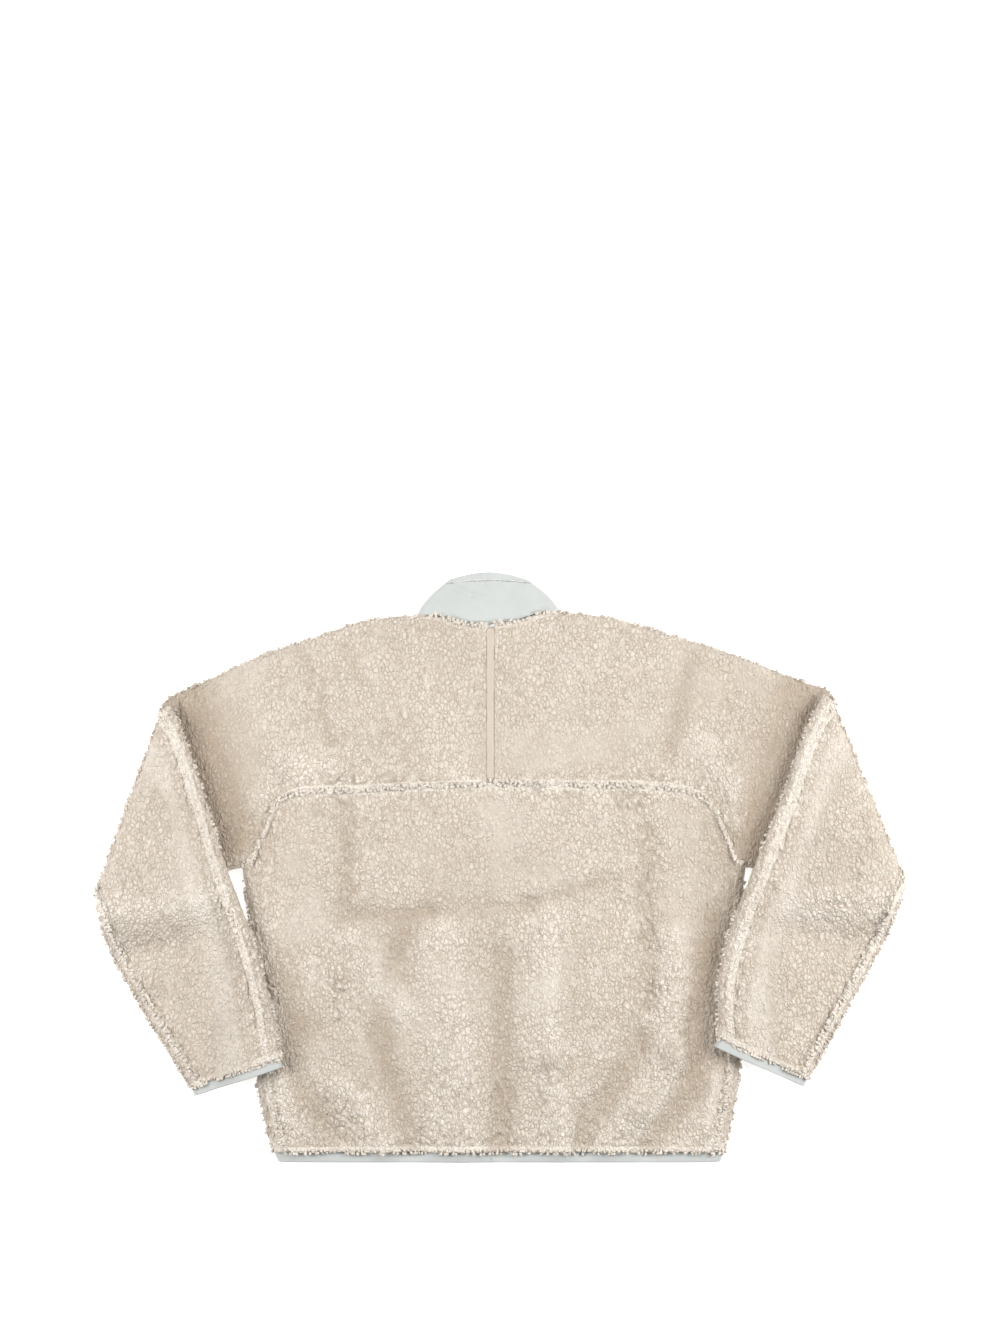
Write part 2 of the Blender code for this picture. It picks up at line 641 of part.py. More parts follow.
def make_hem_binding(woven):
    """The binding along the hem, from one side of the zip round the back to the other."""
    grids = []
    for wall in (0.0, TRIM_WALL):
        grid = []
        for side in (-1, 1):
            reach = body_reach(side, HEM_Y)
            places = [mix(reach, QUARTER, step / HEM_STEPS) for step in range(HEM_STEPS)]
            places += [mix(QUARTER, -QUARTER, step / 8) for step in range(8)]
            places += [mix(-QUARTER, -reach, step / 8) for step in range(9)]
            lines = []
            for along in places:
                depth = wall + 2.5 * smooth(along / QUARTER)
                if abs(along) < 0.001:
                    along = 0.001
                heights = (HEM_Y - SEAM, mix(HEM_Y, HEM_END_Y, 0.5), HEM_END_Y)
                lines.append([body_point(side, y, along, depth) for y in heights])
            for point in lines[0]:
                point.x = CENTRE_X
            for point in lines[-1]:
                point.x = CENTRE_X + side * (ZIP_HALF + SEAM)
            grid += lines[::-1] if side < 0 else lines[1:]
        grids.append(grid)
    cloth_wall("hem_binding", grids[0], grids[1], woven)


def make_zip(woven, metal):
    """The closed zip, its tapes behind the fronts' edges and its chain in the slot between them."""
    section = [(-TAPE_HALF, 0.0), (-CHAIN_HALF, 0.0), (-CHAIN_HALF, -CHAIN_DEPTH), (CHAIN_HALF, -CHAIN_DEPTH),
               (CHAIN_HALF, 0.0), (TAPE_HALF, 0.0), (TAPE_HALF, TAPE_WALL), (-TAPE_HALF, TAPE_WALL)]
    mesh = bpy.data.meshes.new("front_zip")
    shape = bmesh.new()
    loops = []
    for y, z in ZIP_RUN:
        loops.append([shape.verts.new(Vector((CENTRE_X + x, y, z + rise)) * MM) for x, rise in section])
    for first, second in zip(loops, loops[1:]):
        for corner in range(len(section)):
            after = (corner + 1) % len(section)
            shape.faces.new([first[corner], first[after], second[after], second[corner]])
    shape.faces.new(loops[0])
    shape.faces.new(reversed(loops[-1]))
    bmesh.ops.recalc_face_normals(shape, faces=shape.faces)
    shape.to_mesh(mesh)
    shape.free()
    mesh.materials.append(woven)
    JACKET.objects.link(bpy.data.objects.new("front_zip", mesh))

    width, length, height = (size * MM for size in SLIDER_SIZE)
    bpy.ops.mesh.primitive_cube_add(size=1.0)
    slider = bpy.context.active_object
    slider.name = "zip_slider"
    slider.scale = (width, length, height)
    bpy.ops.object.transform_apply(location=False, rotation=False, scale=True)
    slider.location = (CENTRE_X * MM, (ZIP_TOP_Y + SEAM) * MM + length / 2, SEAM * MM + height / 2)
    edge = slider.modifiers.new("soft_edges", "BEVEL")
    edge.width = SLIDER_BEVEL * MM
    edge.segments = 2
    slider.data.materials.append(metal)
    for collection in list(slider.users_collection):
        collection.objects.unlink(slider)
    JACKET.objects.link(slider)


def start_clean():
    for old in list(bpy.data.objects):
        bpy.data.objects.remove(old, do_unlink=True)


start_clean()
JACKET = bpy.data.collections.new("fleece_jacket")
bpy.context.scene.collection.children.link(JACKET)
FLEECE = finish("fleece", (0.74, 0.65, 0.56), 0.95)
WOVEN = finish("woven_trim", (0.74, 0.77, 0.75), 0.7)
METAL = finish("slider", (0.60, 0.62, 0.61), 0.4)

for SIDE in (-1, 1):
    make_yoke_sleeves(SIDE, FLEECE)
    make_front(SIDE, FLEECE)
    make_cuff_binding(SIDE, WOVEN)
make_back_panel(FLEECE)
make_back_strip(FLEECE)
make_collar(WOVEN)
make_hem_binding(WOVEN)
make_zip(WOVEN, METAL)
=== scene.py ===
# A boucle fleece jacket, laid flat on its front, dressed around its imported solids.
# The shape functions work in millimetres; mesh_from turns them into metres.
import itertools
import math

import bmesh
import bpy
import numpy as np
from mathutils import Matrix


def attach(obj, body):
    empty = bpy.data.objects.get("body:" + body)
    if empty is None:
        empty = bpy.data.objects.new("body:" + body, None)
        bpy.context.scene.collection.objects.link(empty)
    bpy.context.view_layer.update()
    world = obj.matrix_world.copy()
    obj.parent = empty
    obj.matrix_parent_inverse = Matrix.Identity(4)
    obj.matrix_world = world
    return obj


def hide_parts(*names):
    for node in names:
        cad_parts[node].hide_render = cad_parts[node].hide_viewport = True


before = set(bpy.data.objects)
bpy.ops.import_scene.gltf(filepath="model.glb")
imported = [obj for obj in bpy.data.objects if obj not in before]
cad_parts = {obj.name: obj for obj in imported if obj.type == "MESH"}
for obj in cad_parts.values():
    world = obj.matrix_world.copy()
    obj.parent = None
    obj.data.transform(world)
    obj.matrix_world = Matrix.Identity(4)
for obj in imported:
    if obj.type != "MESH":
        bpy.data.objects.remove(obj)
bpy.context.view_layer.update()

MM = 0.001
WALL = 7.0                   # the fleece with its pile
AIR = 5.5                    # between the back and the front as they lie
EDGE_R = WALL + AIR / 2      # radius of the cloth's turn at a side edge
STACK = 2 * EDGE_R           # back and front as they lie
SEAM = 0.3                   # gap between the pieces at a seam
QUARTER = EDGE_R * math.pi / 2

CENTRE_X = -12.0
STRIP_HALF = 4.6
STRIP_OVERHANG = 0.7         # how far the strip's edges reach over the yokes' pile
ZIP_HALF = 4.0
HEM_Y = -340.8
HEM_END_Y = -354.0
OVER_ARM = 24.0              # how far the over-arm seam lies on the front
UNDERARM_REACH = 22.0        # how far the underarm seam lies on the front
SIDE_REACH = 20.0            # how far the side seam lies on the back, near the hem
FOLD_GAP = 1.0
FOLD_Z = STACK + FOLD_GAP
FOLD_MID = FOLD_GAP + STACK / 2
ARMPIT = 0.9375              # share of the yoke seam where the body opens into the sleeve
CENTRE_REACH = 18.0          # rows of the yoke are eased off the centre line within this distance

# Side edges of the body: height, then distance of the left and right edge from the origin.
BODY_EDGE = [(-355.0, 266.5, 264.0), (-341.0, 273.0, 268.5), (-311.0, 281.5, 276.5), (-250.0, 293.5, 287.5),
             (-160.0, 296.0, 288.0), (-75.0, 299.5, 289.0), (0.0, 309.0, 293.0), (60.0, 312.0, 296.0)]

# Plan points on the left (-1) and right (1) side, with the distance from the origin first. The yoke seam runs
# from the centre to the armpit, and the shoulder from the centre to the sleeve.
YOKE_SEAM = {-1: [(12.0, 101.0), (95.0, 97.0), (185.0, 92.0), (243.0, 90.0), (267.0, 78.0),
                  (282.0, 44.0), (299.2, 6.0)],
             1: [(-12.0, 101.0), (70.0, 99.0), (180.0, 97.0), (229.0, 90.0), (252.0, 76.0),
                 (268.0, 44.0), (283.2, 6.0)]}

SHOULDER = {-1: [(0.0, 303.0), (100.0, 302.0), (161.0, 296.0), (220.0, 277.0), (277.0, 258.0),
                 (322.0, 239.0), (366.0, 218.0)],
            1: [(-24.0, 305.0), (75.0, 306.0), (142.0, 297.0), (207.0, 278.0), (271.0, 258.0),
                (323.0, 239.0), (362.0, 223.0)]}

# Rows across the yoke: share of the yoke seam, distance from the centre line, and how far round the top edge
# the back's and the front's cut edges lie.
NECK_TO_ARM = [(0.00, 0.0, 20.0, -92.0), (0.10, 30.0, 17.2, -88.0), (0.20, 58.0, 9.0, -72.0),
               (0.25, 70.0, 5.0, -60.0), (0.31, 80.0, 2.0, -44.0), (0.37, 88.0, -10.0, -32.0),
               (0.43, 97.0, -OVER_ARM, -OVER_ARM), (1.00, 366.0, -OVER_ARM, -OVER_ARM)]

# A point on each sleeve's fold line and the line's direction.
FOLD_LINE = {-1: ((408.7, 182.4), (72.0, -198.0)), 1: ((405.8, 182.4), (80.4, -198.0))}

# The sleeves' edges before they are folded, from the armpit to the cuff.
OVER_ARM_EDGE = {-1: [(366.0, 218.0), (430.0, 187.0), (500.0, 145.0), (577.0, 95.0), (632.0, 64.0),
                      (684.0, 32.0), (730.0, -1.0), (776.0, -40.0)],
                 1: [(362.0, 223.0), (430.0, 200.0), (507.0, 163.0), (575.0, 132.0), (618.0, 113.0),
                     (662.0, 93.0), (723.0, 55.0), (772.0, 6.0)]}
UNDERARM_EDGE = {-1: [(309.0, 0.0), (360.0, -12.0), (420.0, -22.0), (475.0, -32.0), (498.0, -46.0),
                      (523.0, -68.0), (598.0, -100.0), (678.0, -127.0), (716.0, -139.0)],
                 1: [(293.0, 0.0), (350.0, -8.0), (410.0, -14.0), (460.0, -17.0), (485.0, -22.0),
                     (512.0, -37.0), (546.0, -53.0), (587.0, -66.0), (663.0, -89.0), (728.0, -108.0)]}

# Rings of the sleeve: how far past the fold line they meet its over-arm edge and its underarm edge.
SLEEVE_RINGS = [(-14.0, -92.0), (-9.0, -52.0), (-5.0, -20.0), (0.0, 0.0), (5.4, 5.4), (10.7, 10.7),
                (16.1, 16.1), (21.5, 21.5), (26.8, 26.8), (32.2, 32.2), (44.0, 40.0), (86.0, 66.0),
                (134.0, 97.0), (184.0, 130.0), (236.0, 164.0), (300.0, 300.0)]

# Folds of the back: each starts and ends at a point, with a half width and a height.
BACK_FOLDS = [
    (-187, 110, -262, 125, 18, 3.0), (-262, 125, -292, 80, 16, 3.0), (240, 150, 276, 98, 16, 3.5),
    (276, 98, 284, 52, 14, 3.0), (-187, 110, -187, -60, 12, -3.5), (-169, -58, -85, -54, 10, -2.5),
    (-85, -54, 35, -46, 10, -2.0), (35, -46, 125, -16, 10, -2.5), (176, 44, 176, -160, 12, -3.5),
    (-115, -66, -145, -202, 14, -3.5), (-145, -202, -109, -336, 14, -4.0), (-72, -90, -50, -340, 24, 5.0),
    (2, -105, 2, -340, 14, -4.5), (57, -60, 57, -232, 14, 4.5), (57, -232, 71, -340, 14, 4.5),
    (98, -290, 98, -340, 9, -3.0), (167, -208, 125, -280, 14, -4.0), (125, -280, 98, -330, 12, -3.5),
    (209, -88, 205, -225, 16, 5.0), (205, -225, 167, -292, 16, 5.5), (167, -292, 128, -330, 15, 4.0),
    (255, -60, 230, -202, 14, -4.0), (230, -202, 233, -262, 14, -4.5), (233, -262, 178, -338, 14, -4.5),
    (256, -256, 246, -338, 9, 3.0), (-265, -112, -241, -190, 16, -2.2), (-241, -190, -250, -232, 15, -3.0),
    (-262, -256, -246, -338, 11, 3.0), (-240, -262, -199, -322, 13, -4.0), (-175, -88, -121, -172, 18, 4.0),
    (-187, -262, -145, -338, 13, 4.0), (-240, 256, -203, 150, 10, -2.5), (-190, 263, -164, 217, 8, -2.0),
    (230, 251, 199, 131, 11, -2.5), (-154, 287, -116, 246, 8, -1.5)]
FOLD_RISE = 1.2              # by how much the folds' heights are raised
SEAM_RISE = 1.2              # height of the ridge just above the yoke seam
BACK_LOFT = 4.5              # how far the middle of the back swells up
PLATEAU = (-170.0, 165.0, -45.0, 82.0, 1.5)     # the raised middle: left, right, low, high and its rise

STRIP_LIFT = 6.0

# The zip: its chain's half width and depth, the pitch of its teeth and, along it, how far the tape's outer face
# lies off the floor.
CHAIN_HALF = 3.0
CHAIN_DEPTH = 2.4
TOOTH_PITCH = 2.6
ZIP_RUN = [(-349.5, 3.4), (-342.0, 7.4), (223.5, 7.4), (231.0, 2.9), (262.0, 2.9)]

# The collar: its middle, its wall, its half widths, its heights on the garment, the radii of its side folds,
# how much it is domed, the share of its height where the turned edge starts, and its opening at the zip.
COLLAR_X = -14.5
COLLAR_WALL = 2.5
COLLAR_BASE_HALF = 85.0
COLLAR_TOP_HALF = 45.0
COLLAR_TOP_Y = 354.0
COLLAR_TOP_SIDE_Y = 346.5
COLLAR_FRONT_TOP_Y = 277.0
COLLAR_BASE_R = 8.6
COLLAR_TOP_R = 5.5
COLLAR_DOME = 1.5
COLLAR_EDGE = 0.87
COLLAR_SLOT = 6.0

# Creases of the collar's back: each starts and ends at a point, with a half width and a height.
COLLAR_FOLDS = [(-55, 335, -35, 326, 3.2, -1.2), (-35, 326, -8, 321, 3.2, -1.0), (-50, 341, -22, 331, 4.5, 0.9),
                (36, 303, 62, 312, 3.2, -1.4), (28, 307, 54, 317, 4.5, 0.9), (-64, 306, -50, 295, 3.2, -1.3),
                (-44, 304, 8, 298, 5.0, 0.7), (-20, 346, -24, 331, 3.0, -0.6), (8, 346, 13, 326, 4.0, -0.6),
                (-84, 312, -70, 330, 4.0, -0.8), (34, 338, 52, 322, 4.0, -0.8)]

# The bindings of cuffs and hem.
CUFF_LENGTH = 12.5
TRIM_WALL = 3.0
TRIM_INSET = 1.0


def smooth(value):
    """0 up to 0, 1 from 1 on, and a soft step between them."""
    value = np.clip(value, 0.0, 1.0)
    return value * value * (3.0 - 2.0 * value)


def mix(first, second, share):
    return first + (second - first) * share


def unit(vectors, least=1e-9):
    """Vectors of length 1; ones shorter than least stay short."""
    return vectors / np.maximum(np.linalg.norm(vectors, axis=-1, keepdims=True), least)


def read_row(table, key):
    """Columns of a table at keys between its rows, on a smooth curve through them."""
    rows = np.array(table, dtype=float)
    keys = rows[:, 0]
    key = np.asarray(key, dtype=float)
    last = len(rows) - 1
    at = np.searchsorted(keys[1:-1], key, side="left")
    before = np.maximum(at - 1, 0)
    after = np.minimum(at + 2, last)
    span = keys[at + 1] - keys[at]
    share = np.clip((key - keys[at]) / span, 0.0, 1.0)
    found = []
    for column in rows.T[1:]:
        start = column[at]
        end = column[at + 1]
        into = (end - column[before]) / (keys[at + 1] - keys[before]) * span
        out = (column[after] - start) / (keys[after] - keys[at]) * span
        found.append(start + share * (into + share * (3 * (end - start) - 2 * into - out
                     + share * (2 * (start - end) + into + out))))
    return found


def along_path(points, share):
    """Plan points at shares of the length of a smooth curve through the points."""
    reach = [0.0]
    for first, second in zip(points, points[1:]):
        reach.append(reach[-1] + math.dist(first, second))
    rows = [(length, point[0], point[1]) for length, point in zip(reach, points)]
    return np.stack(read_row(rows, np.asarray(share) * reach[-1]), axis=-1)


def fold_field(x, y, folds):
    """Height that a list of soft ridges and troughs gives at plan points."""
    height = np.zeros_like(x)
    for x0, y0, x1, y1, width, rise in folds:
        run = ((x - x0) * (x1 - x0) + (y - y0) * (y1 - y0)) / ((x1 - x0) ** 2 + (y1 - y0) ** 2)
        past = np.clip(run, 0.0, 1.0)
        gap = np.hypot(x - mix(x0, x1, past), y - mix(y0, y1, past))
        height += rise * np.exp(-(gap / width) ** 2)
    return height


def fold_height(x, y):
    """How far the back's surface stands above its lowest level."""
    centre = smooth((270.0 - np.abs(x)) / 90.0)
    under_sleeve = smooth((y - 40.0) / 60.0) * smooth((np.abs(x) - 250.0) / 60.0)
    height = BACK_LOFT * mix(0.25, 1.0, centre) * (1.0 - under_sleeve)
    left, right, low, high, rise = PLATEAU
    inside = np.minimum(np.minimum(x - left, right - x), np.minimum(y - low, high - y))
    height = height + rise * smooth(inside / 20.0) + FOLD_RISE * fold_field(x, y, BACK_FOLDS)
    height += SEAM_RISE * np.exp(-((y - 110.0) / 9.0) ** 2) * smooth((230.0 - np.abs(x)) / 30.0)
    return np.maximum(height, 0.0)


def side_edge(side, y):
    """Distance of the body's side edge from the origin."""
    left, right = read_row(BODY_EDGE, y)
    return left if side < 0 else right


def body_point(side, y, along, depth):
    """Points of the body tube; along runs from its side edge, inwards over the back or, below 0, the front."""
    y, along = np.broadcast_arrays(np.asarray(y, dtype=float), np.asarray(along, dtype=float))
    face = np.where(along >= 0, 1.0, -1.0)
    bend = np.minimum(np.abs(along), QUARTER) / EDGE_R
    flat = np.maximum(np.abs(along) - QUARTER, 0.0)
    radius = EDGE_R - depth
    out = side_edge(side, y) - EDGE_R + radius * np.cos(bend) - flat
    z = EDGE_R + face * radius * np.sin(bend)
    z = z + np.where(face > 0, fold_height(side * out, y) * smooth(flat / 14.0), 0.0)
    return np.stack([side * out, y, z], axis=-1)


def body_reach(side, y):
    """Length round the body from its side edge to the centre line."""
    return QUARTER + side_edge(side, y) - EDGE_R - side * CENTRE_X


def seam_place(side, share):
    """Height of the yoke seam and its distance round the body from the side edge."""
    turn = 0.93
    share = np.asarray(share, dtype=float)
    point = along_path(YOKE_SEAM[side], np.minimum(share / turn, 1.0))
    past = np.clip((share - turn) / (1.0 - turn), 0.0, 1.0)
    y = np.where(share >= turn, mix(YOKE_SEAM[side][-1][1], 0.0, past), point[..., 1])
    along = QUARTER + side_edge(side, point[..., 1]) - EDGE_R - point[..., 0]
    return y, np.where(share >= turn, QUARTER * (1.0 - past), along)


def seam_lip(side, share, lower):
    """Place on one lip of the yoke seam, moved off the seam line square to it."""
    y, along = seam_place(side, share)
    y_before, along_before = seam_place(side, np.maximum(share - 0.02, 0.0))
    y_after, along_after = seam_place(side, np.minimum(share + 0.02, 1.0))
    run = unit(np.stack([y_after - y_before, along_after - along_before], axis=-1))
    shift = -SEAM / 2 if lower else SEAM / 2
    return y - shift * run[..., 1], np.maximum(along + shift * run[..., 0], 0.001)


class Fold:
    """The line that a sleeve is folded over along, and the turn of the cloth round it."""

    def __init__(self, side):
        (x, y), (dx, dy) = FOLD_LINE[side]
        self.along = np.array([dx, dy]) / math.hypot(dx, dy)
        self.out = np.array([-self.along[1], self.along[0]])
        self.start = np.array([x, y]) - self.out * FOLD_Z
        self.side = side

    def past(self, point):
        return (point - self.start) @ self.out

    def support(self, point):
        """1 where the folded sleeve lies on the cloth below it, 0 where it lies on the floor."""
        first = np.array(UNDERARM_EDGE[self.side][0])
        last = np.array(UNDERARM_EDGE[self.side][4])
        run = (last - first) / np.linalg.norm(last - first)
        below = (point - first) @ np.array([run[1], -run[0]])
        root = 1.0 - smooth((below - 16.0) / 62.0)
        edge = side_edge(self.side, np.maximum(point[..., 1], -341.0))
        body = 1.0 - smooth((point[..., 0] - edge - 6.0) / 50.0)
        return 1.0 - (1.0 - root) * (1.0 - body)

    def apply(self, point, height):
        """Place points of the flat layer, at their height in the layer, after the sleeve is folded."""
        past = self.past(point)
        turn = np.clip(past / FOLD_MID, 0.0, math.pi)
        radius = FOLD_Z - height
        beyond = np.maximum(past - math.pi * FOLD_MID, 0.0)
        placed = point + self.out * (radius * np.sin(turn) - past - beyond)[..., None]
        z = FOLD_Z - radius * np.cos(turn)
        lift = (1.0 - np.cos(turn)) / 2.0
        z = z - lift * (1.0 - self.support(placed)) * (2 * FOLD_Z - STACK)
        still = past <= 0.0
        x = self.side * np.where(still, point[..., 0], placed[..., 0])
        y = np.where(still, point[..., 1], placed[..., 1])
        return np.stack([x, y, np.where(still, height, z)], axis=-1)


FOLDS = {-1: Fold(-1), 1: Fold(1)}


def half_round(width):
    """Length of cloth half way round a flattened ring, over both of its turned edges."""
    return 2 * QUARTER + width - 2 * EDGE_R


def ring_point(side, top, bottom, closed, along, depth):
    """Points of a flattened ring. along runs round it from its over-arm edge, over the back or, below 0, the
    front."""
    width = np.linalg.norm(bottom - top, axis=-1)
    heading = (bottom - top) / width[..., None]
    half = half_round(width)
    along = np.where(along > half, along - 2 * half, along)
    face = np.where(along >= 0, 1.0, -1.0)
    along = np.abs(along)
    radius = EDGE_R - depth
    near = along < QUARTER
    far = closed & (along > half - QUARTER)
    bend = np.where(near, along / EDGE_R, np.where(far, (half - along) / EDGE_R, math.pi / 2))
    inset = np.where(near, EDGE_R - radius * np.cos(bend),
                     np.where(far, width - EDGE_R + radius * np.cos(bend), EDGE_R + along - QUARTER))
    height = EDGE_R + face * radius * np.sin(bend)
    place = top + heading * inset[..., None]
    raised = (face > 0) & ~closed
    extra = fold_height(side * place[..., 0], place[..., 1]) * smooth((along - QUARTER) / 14.0)
    return FOLDS[side].apply(place, height + np.where(raised, extra, 0.0))


def share_at_fold(path, fold, past):
    """Share of a sleeve edge's length at which it lies a given way past the fold line."""
    low = 0.0
    high = 1.0
    for _ in range(30):
        middle = (low + high) / 2
        if fold.past(along_path(path, middle)) < past:
            low = middle
        else:
            high = middle
    return (low + high) / 2


def body_stations(side, shares, centre):
    """Lines down the yoke, from the centre towards the armpit, and where the cut edges lie round them."""
    distance, back_edge, front_edge = read_row(NECK_TO_ARM, shares)
    distance = np.where(distance < CENTRE_REACH, mix(centre, CENTRE_REACH, distance / CENTRE_REACH), distance)
    x = side * CENTRE_X + distance
    top = np.stack([x, read_row(SHOULDER[side], x)[0]], axis=-1)
    y, along = seam_place(side, shares)
    bottom_x = side * body_point(side, y, np.maximum(along, 0.001), 0.0)[..., 0]
    bottom_x = np.where(shares < 0.05, np.maximum(bottom_x, side * CENTRE_X + centre), bottom_x)
    bottom = np.stack([bottom_x, y], axis=-1)
    return top, bottom, np.maximum(back_edge, -OVER_ARM), np.minimum(front_edge, -OVER_ARM)


def sleeve_stations(side, places):
    """Rings of the sleeve, from the armpit (0) to the cuff (1)."""
    fold = FOLDS[side]
    over = [0.0] + [share_at_fold(OVER_ARM_EDGE[side], fold, ring[0]) for ring in SLEEVE_RINGS]
    under = [0.0] + [share_at_fold(UNDERARM_EDGE[side], fold, ring[1]) for ring in SLEEVE_RINGS]
    knots = np.linspace(0.0, 1.0, len(over))
    top = along_path(OVER_ARM_EDGE[side], np.interp(places, knots, over))
    bottom = along_path(UNDERARM_EDGE[side], np.interp(places, knots, under))
    return top, bottom


def under_reach(sleeve):
    """How far the back cloth reaches round the underarm edge onto the front."""
    return UNDERARM_REACH * smooth(sleeve / 0.35) * mix(1.0, 0.75, smooth((sleeve - 0.6) / 0.4))


def reach_along(points, axis):
    """Distance of each point of a line or grid from the first one of its row or column, along the cloth."""
    step = np.linalg.norm(np.diff(points, axis=axis), axis=-1)
    start = np.zeros_like(step[:1] if axis == 0 else step[:, :1])
    return np.cumsum(np.concatenate([start, step], axis=axis), axis=axis)


def even_places(points, count):
    """Where on a row of points count evenly spaced ones lie, as shares of its index."""
    reach = reach_along(points, 0)
    return np.interp(np.linspace(0.0, reach[-1], count), reach, np.linspace(0.0, 1.0, len(points)))


def yoke_sleeve_grid(side, back, depth, body_rows, link_rows, sleeve_rows, columns):
    """Points of the back or front half of one yoke and sleeve, from the centre to the cuff."""
    centre = (STRIP_HALF if back else ZIP_HALF) + SEAM
    face = 1.0 if back else -1.0
    steps = np.linspace(0.0, 1.0, columns)

    shares = np.linspace(0.0, ARMPIT, body_rows)
    top, bottom, back_edge, front_edge = body_stations(side, shares, centre)
    width = np.linalg.norm(bottom - top, axis=-1)
    end = QUARTER + width - EDGE_R
    start = (back_edge if back else -front_edge) + SEAM / 2
    along = mix(start[:, None], end[:, None], steps)
    body = ring_point(side, top[:, None], bottom[:, None], np.zeros(along.shape, bool), face * along, depth)
    lip_y, lip_along = seam_lip(side, shares, False)
    lip = body_point(side, lip_y, face * lip_along, depth)
    ease = smooth(1.0 - (end[:, None] - along) / 8.0)
    body += (lip - body[:, -1])[:, None] * ease[..., None]
    body[0, :, 0] = CENTRE_X + side * centre

    places = np.linspace(0.0, 1.0, 400)
    top, bottom = sleeve_stations(side, places)
    places = even_places(top + bottom, sleeve_rows)
    top, bottom = sleeve_stations(side, places)
    bottom[0] = (side_edge(side, 0.0), SEAM)
    half = half_round(np.linalg.norm(bottom - top, axis=-1))
    reach = under_reach(places)
    start = -OVER_ARM + SEAM / 2 if back else OVER_ARM + SEAM / 2
    end = half + reach - SEAM / 2 if back else half - reach - SEAM / 2
    along = mix(start, end[:, None], steps)
    sleeve = ring_point(side, top[:, None], bottom[:, None], np.ones(along.shape, bool), face * along, depth)

    link = np.linspace(0.0, 1.0, link_rows + 2)[1:-1, None, None]
    between = mix(body[-1][None], sleeve[0][None], link)
    return np.concatenate([body, between, sleeve])


def side_seam(share):
    """How far round the side edge the fronts reach onto the back, from the armpit to the hem."""
    return SIDE_REACH * smooth(np.asarray(share) / 0.7)


def back_panel_grid(depth, columns, rows):
    """Points of the lower back, from the left side seam to the right one."""
    share = np.linspace(0.0, 1.0, columns)[:, None]
    down = np.linspace(0.0, 1.0, rows)[None, :]
    halves = []
    for side in (-1, 1):
        top_y, top_along = seam_lip(side, share, True)
        y = mix(top_y, HEM_Y, down)
        reach = body_reach(side, y)
        seam = side_seam(down) + SEAM / 2
        hem_along = mix(body_reach(side, HEM_Y), side_seam(1.0) + SEAM / 2, share)
        part = mix(top_along / body_reach(side, top_y), hem_along / body_reach(side, HEM_Y), down)
        along = np.maximum(part * reach, seam)
        along[-1] = seam[0]
        halves.append(body_point(side, y, along, depth))
    return np.concatenate([halves[0][::-1], halves[1][1:]])


def front_grid(side, depth, wrap, columns, rows):
    """Points of one lower front, from the side seam on the back round the side edge to the zip."""
    step = np.arange(wrap + columns)[:, None]
    share = np.where(step >= wrap, 1.0 - (step - wrap) / (columns - 1), 1.0)
    down = np.linspace(0.0, 1.0, rows)[None, :]
    top_y, top_along = seam_lip(side, share, True)
    y = mix(top_y, HEM_Y, down)
    turned = np.maximum((side_seam(down) - SEAM / 2) * (1.0 - step / wrap), 0.02 * (wrap - step))
    part = mix(top_along / body_reach(side, top_y), 1.0 - share, down)
    flat = -np.maximum(part * body_reach(side, y), 0.001)
    grid = body_point(side, y, np.where(step < wrap, turned, flat), depth)
    grid[-1, :, 0] = CENTRE_X + side * (ZIP_HALF + SEAM)
    return grid


def strip_grid(lift, columns, rows):
    """Points of the flat strip between the two back yokes."""
    low = body_point(1, *seam_lip(1, np.array(0.0), False), 0.0)[1]
    high = read_row(SHOULDER[-1], -CENTRE_X)[0] - (EDGE_R + NECK_TO_ARM[0][2] - QUARTER) - SEAM
    x = np.linspace(-STRIP_HALF - STRIP_OVERHANG, STRIP_HALF + STRIP_OVERHANG, columns)[:, None]
    y = np.linspace(low, high, rows)[None, :]
    x, y = np.broadcast_arrays(x, y)
    z = STACK - WALL + fold_height(np.full_like(y, CENTRE_X), y) * smooth((high - y) / 14.0 + 0.3)
    return np.stack([CENTRE_X + x, y, z + lift], axis=-1)


def collar_base(side, distance, front):
    """Height of the collar's base seam at a distance from the centre line, just off the neck's edge."""
    shoulder = read_row(SHOULDER[side], distance + side * CENTRE_X)[0]
    edges = [(row[1], row[3] if front else row[2]) for row in NECK_TO_ARM[:-1]]
    along = np.abs(read_row(edges, distance)[0])
    flat = EDGE_R + along - QUARTER
    if front:
        inset = flat * (1.0 - smooth((distance - 58.0) / 22.0))
    else:
        turned = EDGE_R * (1.0 - np.cos(along / EDGE_R)) * (1.0 - smooth((distance - 72.0) / 8.0))
        inset = np.where(along > QUARTER, flat, turned)
    return shoulder + 2 * SEAM - inset


def collar_side(side, up):
    """Side fold of the collar in plan: its distance from the collar's middle and its height on the garment."""
    low = read_row(SHOULDER[side], COLLAR_BASE_HALF)[0] + 2 * SEAM
    half = mix(COLLAR_BASE_HALF, COLLAR_TOP_HALF, up ** COLLAR_DOME)
    return np.stack([half, mix(low, COLLAR_TOP_SIDE_Y, up)], axis=-1)


